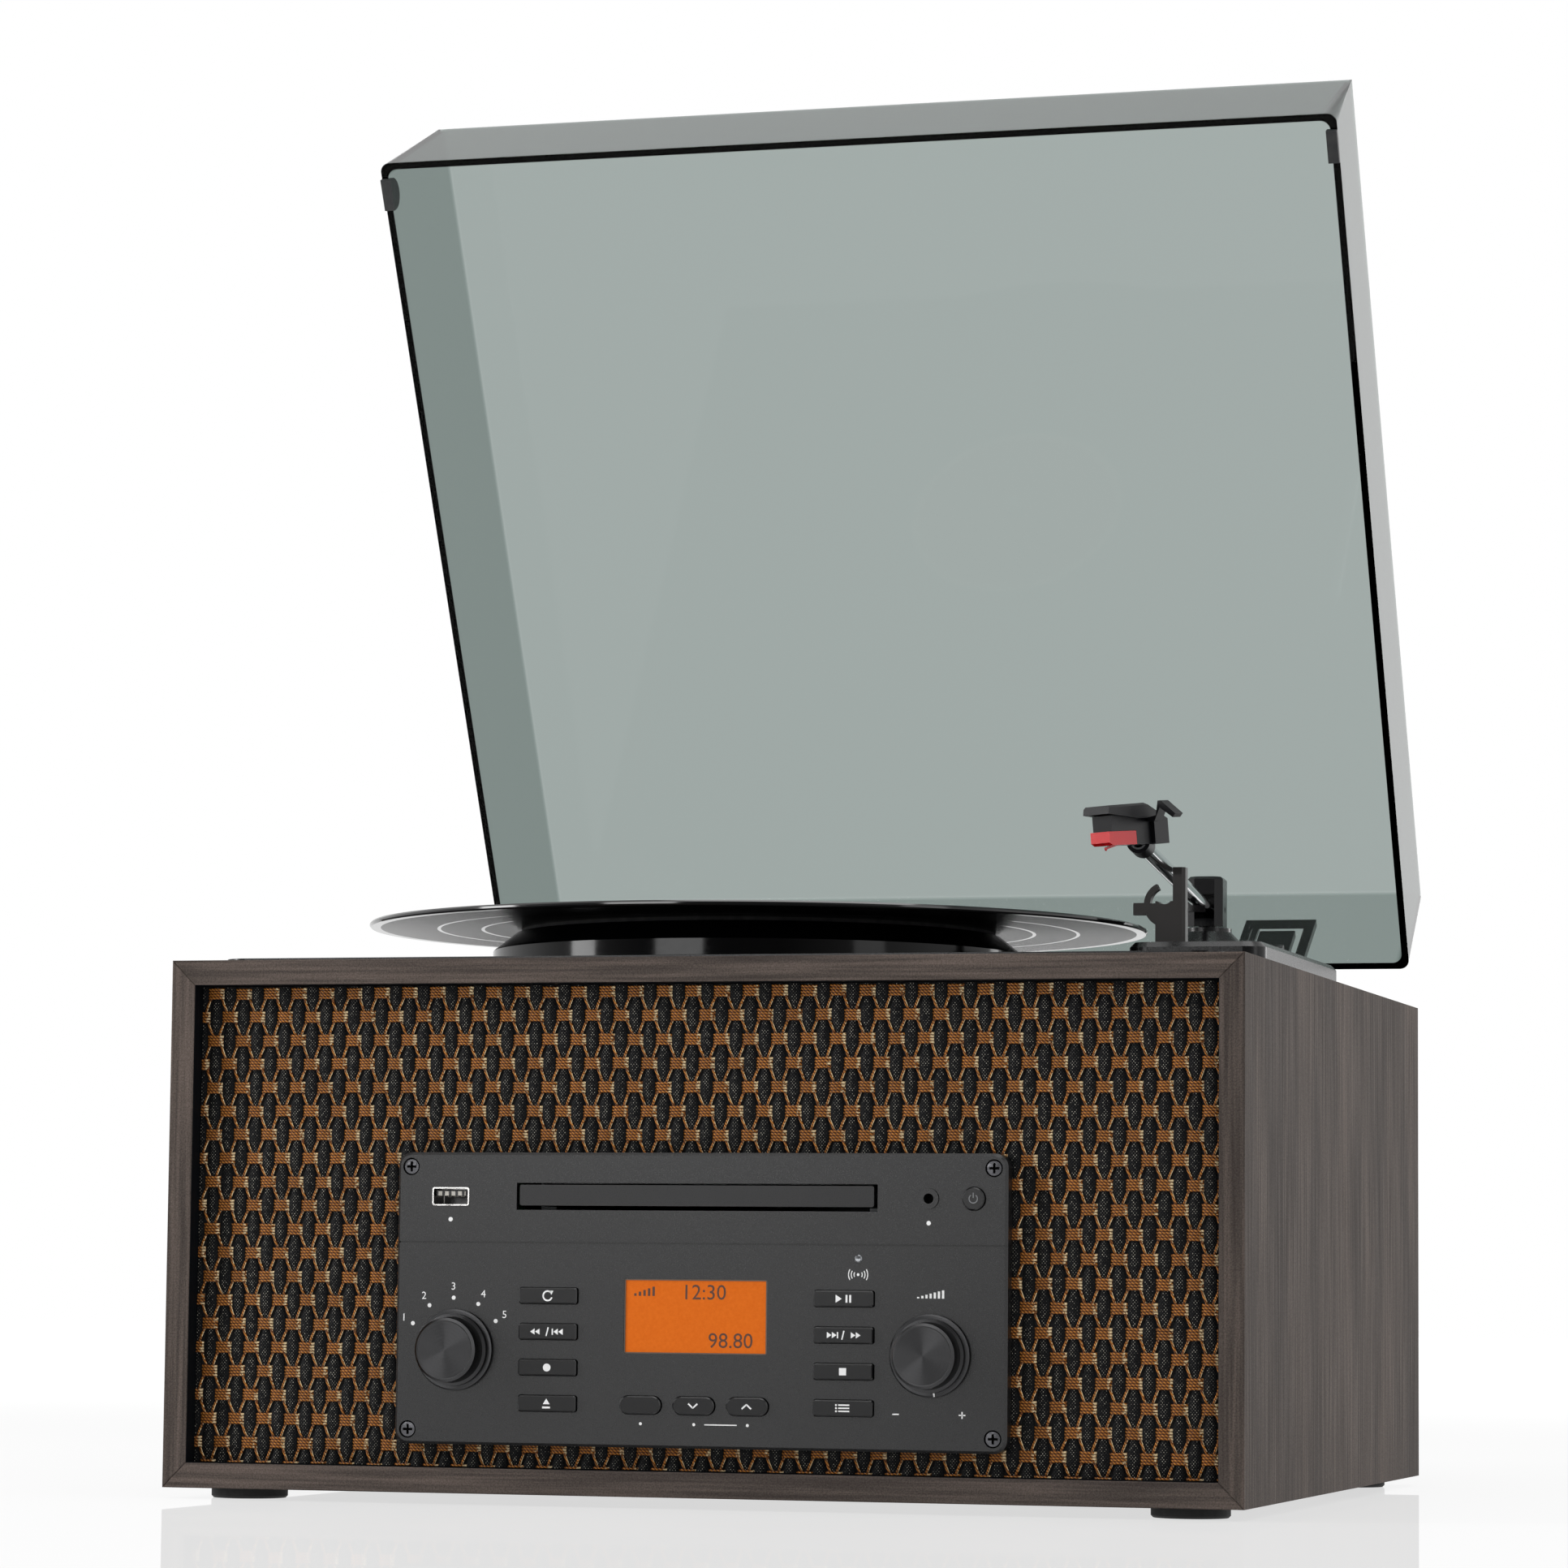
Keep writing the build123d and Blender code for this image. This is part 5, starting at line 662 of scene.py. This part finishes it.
def makeLamps():
    for name, lamp in lamps.items():
        data = bpy.data.lights.new(name, "AREA")
        data.shape = "RECTANGLE"
        data.size, data.size_y = lamp["size"]
        data.energy = lamp["watts"]
        obj = bpy.data.objects.new(name, data)
        toward = Vector(studio["aim"]) - Vector(lamp["at"])
        turn = toward.to_track_quat("-Z", "Y").to_matrix().to_4x4()
        obj.matrix_world = Matrix.Translation(lamp["at"]) @ turn
        bpy.context.scene.collection.objects.link(obj)


makeFloor()
makeWorld()
makeLamps()
bpy.context.scene.view_settings.view_transform = "Standard"
print("studio ready")


# the grille: brown yarn bundles float over black ribs, and thin brown yarns slant from row to row;
# in millimetres; over, under and depth are counted back from the cabinet's front face, and tuck is how far
# the cloth goes in behind the fascia
cloth = {"bundlePitch": 10.78, "rowPitch": 8.6, "firstX": -180.0, "firstZ": 175.4, "rows": (-1, 20),
         "columns": (-2, 70), "seed": 12, "tuck": 4.5,
         "bundleLong": 6.5, "bundleHigh": 4.1, "yarns": 4, "ridge": 0.42, "over": 7.55, "under": 8.35,
         "spread": 0.05, "driftX": 0.2, "driftZ": 0.15, "lean": 0.03, "bundleTuck": 8,
         "ribWide": 4.7, "ribNarrow": 2.8, "ribOver": 7.55, "ribUnder": 8.5, "ribRound": 0.55,
         "slant": 0.95, "slantFrom": 2.1, "slantTo": 4.3, "slantDrift": 0.25, "slantDepth": 7.75,
         "slantRise": 0.35, "slantRound": 0.35, "slantHide": 0.5, "slantBelow": 4, "backing": 8.65}
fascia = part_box("fascia")


def hiddenByFascia(x, z, margin):
    inX = fascia[0].x + margin * mm < x < fascia[1].x - margin * mm
    return inX and fascia[0].z + margin * mm < z < fascia[1].z - margin * mm


def cutMesh(mesh, at, normal, clearOuter=False):
    everything = mesh.verts[:] + mesh.edges[:] + mesh.faces[:]
    bmesh.ops.bisect_plane(mesh, geom=everything, plane_co=at, plane_no=normal, clear_outer=clearOuter)


def clipToOpening(mesh):
    sides = {"left": (-1, 0, 0), "right": (1, 0, 0), "low": (0, 0, -1), "high": (0, 0, 1)}
    for side, normal in sides.items():
        at = (opening[side], 0, 0) if normal[0] else (0, 0, opening[side])
        cutMesh(mesh, at, normal, clearOuter=True)
    hidden = [f for f in mesh.faces if hiddenByFascia(*f.calc_center_median().xz, cloth["tuck"])]
    bmesh.ops.delete(mesh, geom=hidden, context="FACES")
    bmesh.ops.recalc_face_normals(mesh, faces=mesh.faces[:])
    if sum(f.normal.y for f in mesh.faces) > 0:
        bmesh.ops.reverse_faces(mesh, faces=mesh.faces[:])


def weavePlaces():
    # row and column of each bundle; bundles of one row stand between those of the next
    for row in range(*cloth["rows"]):
        for column in range(*cloth["columns"]):
            if (row - column) % 2 == 0:
                yield row, column


def columnX(column):
    return (cloth["firstX"] + column * cloth["bundlePitch"] / 2) * mm


def rowZ(row):
    return (cloth["firstZ"] - row * cloth["rowPitch"]) * mm


def makeBundles(material):
    mesh = bmesh.new()
    mesh.loops.layers.uv.new("yarn")
    draw = Random(cloth["seed"])
    for row, column in weavePlaces():
        x0 = columnX(column) + draw.uniform(-cloth["driftX"], cloth["driftX"]) * mm
        z0 = rowZ(row) + draw.uniform(-cloth["driftZ"], cloth["driftZ"]) * mm
        lean = draw.uniform(-cloth["lean"], cloth["lean"])
        if hiddenByFascia(x0, z0, cloth["bundleTuck"]):
            continue
        rows = 3 * cloth["yarns"]
        made = bmesh.ops.create_grid(mesh, x_segments=5, y_segments=rows, size=1.0, calc_uvs=True)
        for vert in made["verts"]:
            along, across = vert.co.x, vert.co.y
            yarn = (across + 1) / 2 * cloth["yarns"]
            ridge = sqrt(max(0, 1 - (2 * (yarn % 1) - 1) ** 2)) if abs(across) < 0.999 else 0
            spread = 1 + cloth["spread"] * along * along
            x = along * cloth["bundleLong"] / 2
            z = across * cloth["bundleHigh"] / 2 * spread + lean * x
            y = cloth["over"] + (cloth["under"] - cloth["over"]) * abs(along) ** 3 - ridge * cloth["ridge"]
            vert.co = (x0 + x * mm, frontY + y * mm, z0 + z * mm)
    clipToOpening(mesh)
    return addPiece("grilleBundles", mesh, material, "cabinet", smooth=True)


def makeRibs(material):
    mesh = bmesh.new()
    mesh.loops.layers.uv.new("rib")
    tall = (opening["high"] - opening["low"]) / mm
    for column in range(*cloth["columns"]):
        made = bmesh.ops.create_grid(mesh, x_segments=4, y_segments=120, size=1.0, calc_uvs=True)
        for vert in made["verts"]:
            across, z = vert.co.x, opening["low"] / mm + (vert.co.y + 1) / 2 * tall
            row = (cloth["firstZ"] - z) / cloth["rowPitch"]
            lift = 0.5 - 0.5 * cos(pi * (row - column))
            wide = cloth["ribNarrow"] + (cloth["ribWide"] - cloth["ribNarrow"]) * lift ** 0.7
            y = cloth["ribUnder"] - (cloth["ribUnder"] - cloth["ribOver"]) * lift ** 0.6
            y -= cloth["ribRound"] * (1 - across * across)
            vert.co = (columnX(column) + across * wide / 2 * mm, frontY + y * mm, z * mm)
    clipToOpening(mesh)
    return addPiece("grilleRibs", mesh, material, "cabinet", smooth=True)


def makeSlants(material):
    mesh = bmesh.new()
    mesh.loops.layers.uv.new("yarn")
    draw = Random(cloth["seed"] + 1)
    start = cloth["bundleHigh"] / 2 - cloth["slantHide"]  # both ends of a slanting yarn hide behind a bundle
    fall = cloth["rowPitch"] - cloth["bundleHigh"] + 2 * cloth["slantHide"]
    for row, column in weavePlaces():
        x0, z0 = columnX(column), rowZ(row)
        if hiddenByFascia(x0, z0 - cloth["slantBelow"] * mm, cloth["bundleTuck"]):
            continue
        for side in (-1, 1):
            jitter = draw.uniform(-cloth["slantDrift"], cloth["slantDrift"])
            made = bmesh.ops.create_grid(mesh, x_segments=2, y_segments=4, size=1.0, calc_uvs=True)
            for vert in made["verts"]:
                across, down = vert.co.x, (1 - vert.co.y) / 2
                reach = cloth["slantFrom"] + (cloth["slantTo"] - cloth["slantFrom"] + jitter) * down
                x = side * reach + across * cloth["slant"] / 2
                y = cloth["slantDepth"] - cloth["slantRise"] * sin(pi * down)
                y -= cloth["slantRound"] * (1 - across * across)
                vert.co = (x0 + x * mm, frontY + y * mm, z0 - (start + fall * down) * mm)
    clipToOpening(mesh)
    return addPiece("grilleSlants", mesh, material, "cabinet", smooth=True)


def makeBacking(material):
    # a plain cloth with a window behind the fascia, whose area comes back with it
    mesh = bmesh.new()
    wide, tall = opening["right"] - opening["left"], opening["high"] - opening["low"]
    made = bmesh.ops.create_grid(mesh, x_segments=60, y_segments=30, size=0.5)
    for vert in made["verts"]:
        vert.co = (opening["left"] + (vert.co.x + 0.5) * wide, frontY + cloth["backing"] * mm,
                   opening["low"] + (vert.co.y + 0.5) * tall)
    tuck = cloth["tuck"] * mm
    for normal in ((1, 0, 0), (0, 0, 1)):
        for corner, inward in ((fascia[0], tuck), (fascia[1], -tuck)):
            cutMesh(mesh, corner + Vector(normal) * inward, normal)
    clipToOpening(mesh)
    piece = addPiece("grilleBacking", mesh, material, "cabinet")
    window = (fascia[1].x - fascia[0].x - 2 * tuck) * (fascia[1].z - fascia[0].z - 2 * tuck)
    return piece, wide, tall, window


def makeGrille():
    bundles = makeBundles(twistedYarn("viscoseYarn", cloth["yarns"]))
    ribs = makeRibs(glitterRib("metallicBlackYarn"))
    slants = makeSlants(twistedYarn("viscoseYarnThin", 1))
    backing, wide, tall, window = makeBacking(blackBacking("blackBackingCloth"))
    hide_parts("grille_cloth")


makeGrille()
print("grille woven")


# plain marks in white ink: dots, numbers and common transport symbols, drawn flat in millimetres about their
# own middle and then given their thickness
marks = {"thick": 0.06, "dot": 0.75, "stroke": 0.42, "symbolScale": 1.35, "skipScale": 1.15, "arrow": 1.9,
         "ink": "#F2F2F2", "greyInk": "#77787A", "textHigh": 1.4}


def disc(mesh, u, v, radius, segments=24):
    place = Matrix.Translation((u, v, 0))
    bmesh.ops.create_circle(mesh, cap_ends=True, segments=segments, radius=radius, matrix=place)


def markPlace(u, v, degrees, wide, high):
    turn = Matrix.Rotation(radians(degrees), 4, "Z")
    return Matrix.Translation((u, v, 0)) @ turn @ Matrix.Diagonal((wide, high, 1, 1))


def bar(mesh, u, v, wide, high, degrees=0):
    place = markPlace(u, v, degrees, wide, high)
    bmesh.ops.create_grid(mesh, x_segments=1, y_segments=1, size=0.5, matrix=place)


def triangle(mesh, u, v, high, degrees):
    place = markPlace(u, v, degrees, 1, 0.9)
    bmesh.ops.create_circle(mesh, cap_ends=True, segments=3, radius=high / sqrt(3), matrix=place)


def arc(mesh, u, v, radius, stroke, start, sweep):
    start = radians(start)
    ends = [mesh.verts.new((u + r * cos(start), v + r * sin(start), 0))
            for r in (radius - stroke / 2, radius + stroke / 2)]
    edge = mesh.edges.new(ends)
    full = abs(sweep) == 360
    bmesh.ops.spin(mesh, geom=ends + [edge], cent=(u, v, 0), axis=(0, 0, 1), angle=radians(sweep), steps=20,
                   use_merge=full)


def number(mesh, text, u, v, high):
    curve = bpy.data.curves.new("number", "FONT")
    curve.body = text
    curve.size = high * marks["textHigh"]
    curve.resolution_u = 3
    curve.align_x = "CENTER"
    curve.align_y = "CENTER"
    holder = bpy.data.objects.new("number", curve)
    flat = bpy.data.meshes.new_from_object(holder)
    flat.transform(Matrix.Translation((u, v, 0)))
    mesh.from_mesh(flat)
    bpy.data.objects.remove(holder)
    bpy.data.meshes.remove(flat)


def frontPlace(node, y=None, size=1.0):
    # from a drawing in millimetres to the middle of a piece's front, or to the depth y
    middle = centreOf(node)
    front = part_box(node)[0].y if y is None else y
    scale = Matrix.Diagonal((mm * size, mm * size, mm, 1))
    return Matrix.Translation((middle.x, front, middle.z)) @ Matrix.Rotation(pi / 2, 4, "X") @ scale


def printMark(name, draw, place, body, material, thick=marks["thick"]):
    mesh = bmesh.new()
    draw(mesh)
    for face in mesh.faces:
        face.normal_update()
        if face.normal.z < 0:
            face.normal_flip()
    bmesh.ops.remove_doubles(mesh, verts=mesh.verts[:], dist=0.001)
    made = bmesh.ops.extrude_face_region(mesh, geom=mesh.faces[:], use_keep_orig=True)
    top = [v for v in made["geom"] if isinstance(v, bmesh.types.BMVert)]
    bmesh.ops.translate(mesh, verts=top, vec=(0, 0, thick))
    bmesh.ops.recalc_face_normals(mesh, faces=mesh.faces[:])
    mesh.transform(place)
    return addPiece(name, mesh, material, body)


def loopSymbol(mesh):
    arc(mesh, 0, 0, 1.25, marks["stroke"], 50, 290)
    triangle(mesh, 1.0, 1.0, 1.3, -60)


def skipSymbol(mesh, heading):
    # two arrows, a slanting stroke between, and two arrows that a bar stops
    for u in (-4.6, -3.0, 3.0, 4.6):
        triangle(mesh, u, 0, marks["arrow"], -90 * heading)
    bar(mesh, 0, 0, marks["stroke"], 2.8, -14)
    bar(mesh, -1.7 * heading, 0, marks["stroke"], marks["arrow"])


def recordSymbol(mesh):
    disc(mesh, 0, 0, 1.05)


def ejectSymbol(mesh):
    triangle(mesh, 0, 0.3, marks["arrow"], 0)
    bar(mesh, 0, -1.05, 2.2, 0.5)


def playPauseSymbol(mesh):
    triangle(mesh, -1.5, 0, 2.1, -90)
    for u in (0.9, 1.9):
        bar(mesh, u, 0, 0.5, 2.0)


def stopSymbol(mesh):
    bar(mesh, 0, 0, 1.9, 1.9)


def listSymbol(mesh):
    for v in (-0.8, 0, 0.8):
        bar(mesh, 0.4, v, 3.0, 0.36)
        disc(mesh, -1.7, v, 0.26, 10)


def chevron(mesh, heading):
    for side in (-1, 1):
        bar(mesh, side * 0.62, 0, 1.75, 0.4, side * 42 * heading)


keySymbols = {
    "left_button_1": loopSymbol,
    "left_button_2": lambda mesh: skipSymbol(mesh, -1),
    "left_button_3": recordSymbol,
    "left_button_4": ejectSymbol,
    "right_button_1": playPauseSymbol,
    "right_button_2": lambda mesh: skipSymbol(mesh, 1),
    "right_button_3": stopSymbol,
    "right_button_4": listSymbol,
    "oval_button_2": lambda mesh: chevron(mesh, 1),
    "oval_button_3": lambda mesh: chevron(mesh, -1),
}
fasciaMiddle = centreOf("fascia")


def atFascia(node, right=0.0, up=0.0):
    # a place on the fascia, counted in millimetres from the middle of a control
    middle = centreOf(node)
    return (middle.x - fasciaMiddle.x) / mm + right, (middle.z - fasciaMiddle.z) / mm + up


# all in millimetres from the middle of the control that each mark belongs to, angles in degrees
dial = {"dots": 18.6, "numbers": 22.6, "numberHigh": 2.7, "angles": (150, 122, 92, 62, 34)}
volumeBars = {"count": 7, "apart": 1.5, "wide": 0.8, "lowest": 0.5, "rise": 0.4, "up": 20.0}
signs = {"less": -12.4, "more": 11.6, "up": -20.5, "long": 2.4, "stroke": 0.45}
waves = {"up": -5.6, "dot": 0.5, "radii": (1.5, 2.5, 3.5), "stroke": 0.34, "half": 32}
socketDots = {"usb_socket": -8.2, "aux_socket": -8.6, "radius": 0.8}
ovalDots = {"up": -6.6, "radius": 0.55, "lineLong": 12.0, "lineThick": 0.4}


def drawDial(mesh):
    for place, angle in enumerate(dial["angles"], 1):
        right, up = cos(radians(angle)), sin(radians(angle))
        disc(mesh, *atFascia("source_knob", dial["dots"] * right, dial["dots"] * up), marks["dot"])
        at = atFascia("source_knob", dial["numbers"] * right, dial["numbers"] * up)
        number(mesh, str(place), *at, dial["numberHigh"])


def drawVolume(mesh):
    for step in range(volumeBars["count"]):
        high = volumeBars["lowest"] + step * volumeBars["rise"]
        right = (step - (volumeBars["count"] - 1) / 2) * volumeBars["apart"]
        bar(mesh, *atFascia("volume_knob", right, volumeBars["up"] + high / 2), volumeBars["wide"], high)
    long, stroke = signs["long"], signs["stroke"]
    for sign, wide, high in (("less", long, stroke), ("more", long, stroke), ("more", stroke, long)):
        bar(mesh, *atFascia("volume_knob", signs[sign], signs["up"]), wide, high)


def drawWaves(mesh):
    at = atFascia("status_lamp", 0, waves["up"])
    disc(mesh, *at, waves["dot"])
    for radius in waves["radii"]:
        for middle in (0, 180):
            arc(mesh, *at, radius, waves["stroke"], middle - waves["half"], 2 * waves["half"])


def drawOvalDots(mesh):
    for node in ovalKeys:
        disc(mesh, *atFascia(node, 0, ovalDots["up"]), ovalDots["radius"])
    left, right = atFascia("oval_button_2", 0, ovalDots["up"]), atFascia("oval_button_3", 0, ovalDots["up"])
    bar(mesh, (left[0] + right[0]) / 2, left[1], ovalDots["lineLong"], ovalDots["lineThick"])


def drawFasciaMarks(mesh):
    drawDial(mesh)
    drawVolume(mesh)
    for node in ("usb_socket", "aux_socket"):
        disc(mesh, *atFascia(node, 0, socketDots[node]), socketDots["radius"])
    drawWaves(mesh)
    drawOvalDots(mesh)


def makeMarks():
    ink = printedInk("whitePadPrint", marks["ink"])
    printMark("fasciaMarks", drawFasciaMarks, frontPlace("fascia"), "cabinet", ink)
    for node, draw in keySymbols.items():
        size = marks["skipScale"] if node in ("left_button_2", "right_button_2") else marks["symbolScale"]
        printMark(node + "_mark", draw, frontPlace(node, size=size), node, ink)


# places in millimetres from the display's middle; its glass stands a little behind the fascia's front
readout = {"inset": 0.5, "thick": 0.03, "high": 5.4, "ink": "#4A2408", "time": ("12:30", 3.0, 8.4),
           "station": ("98.80", 13.0, -8.6), "bars": 5, "barsRight": -22.5, "barsUp": 7.2, "apart": 1.7,
           "wide": 0.9, "lowest": 0.9, "rise": 0.6}
# rim: a pale frame round the display's glass, drawn as a painted highlight where the opening's bevel catches
# the light
rim = {"wide": 53.0, "tall": 26.4, "edge": 0.45, "thick": 0.3}


def drawReadout(mesh):
    for text, right, up in (readout["time"], readout["station"]):
        number(mesh, text, right, up, readout["high"])
    for step in range(readout["bars"]):
        high = readout["lowest"] + readout["rise"] * step
        right = readout["barsRight"] + step * readout["apart"]
        bar(mesh, right, readout["barsUp"] + high / 2, readout["wide"], high)


def drawRim(mesh):
    wide, tall, edge = rim["wide"], rim["tall"], rim["edge"]
    for side in (-1, 1):
        bar(mesh, side * (wide - edge) / 2, 0, edge, tall - 2 * edge)
        bar(mesh, 0, side * (tall - edge) / 2, wide, edge)


def makeDisplay():
    place = frontPlace("display_module", fascia[0].y + readout["inset"] * mm)
    ink = printedInk("liquidCrystalInk", readout["ink"], 0.35)
    printMark("displayReadout", drawReadout, place, "cabinet", ink, readout["thick"])
    # the rim's pale brown is a painted highlight on the bevel
    plastic = mouldedPlastic("displayBevelHighlight", "#5A4A3C", 0.35, 0.5, 0.008)
    printMark("displayBevelHighlight", drawRim, place, "cabinet", plastic, rim["thick"])


# the painted line on the volume knob's face, which stands proud of the fascia
indexLine = {"out": 13.7, "degrees": 8, "wide": 0.55, "long": 1.3, "proud": 1.75, "thick": 0.35}


def drawPower(mesh):
    arc(mesh, 0, 0, 1.5, 0.36, 125, 290)
    bar(mesh, 0, 1.2, 0.36, 1.8)


def drawIndex(mesh):
    turn = radians(indexLine["degrees"] - 90)
    right, up = indexLine["out"] * cos(turn), indexLine["out"] * sin(turn)
    bar(mesh, right, up, indexLine["wide"], indexLine["long"], indexLine["degrees"])


def makeSmallMarks():
    grey = printedInk("greyPadPrint", marks["greyInk"])
    place = frontPlace("power_button")
    printMark("power_button_mark", drawPower, place, "power_button", grey)
    white = printedInk("whiteIndexPaint", marks["ink"])
    place = frontPlace("volume_knob", fascia[0].y - indexLine["proud"] * mm)
    printMark("volume_knob_index", drawIndex, place, "volume_knob", white, indexLine["thick"])


makeMarks()
makeDisplay()
makeSmallMarks()
print("marks printed")
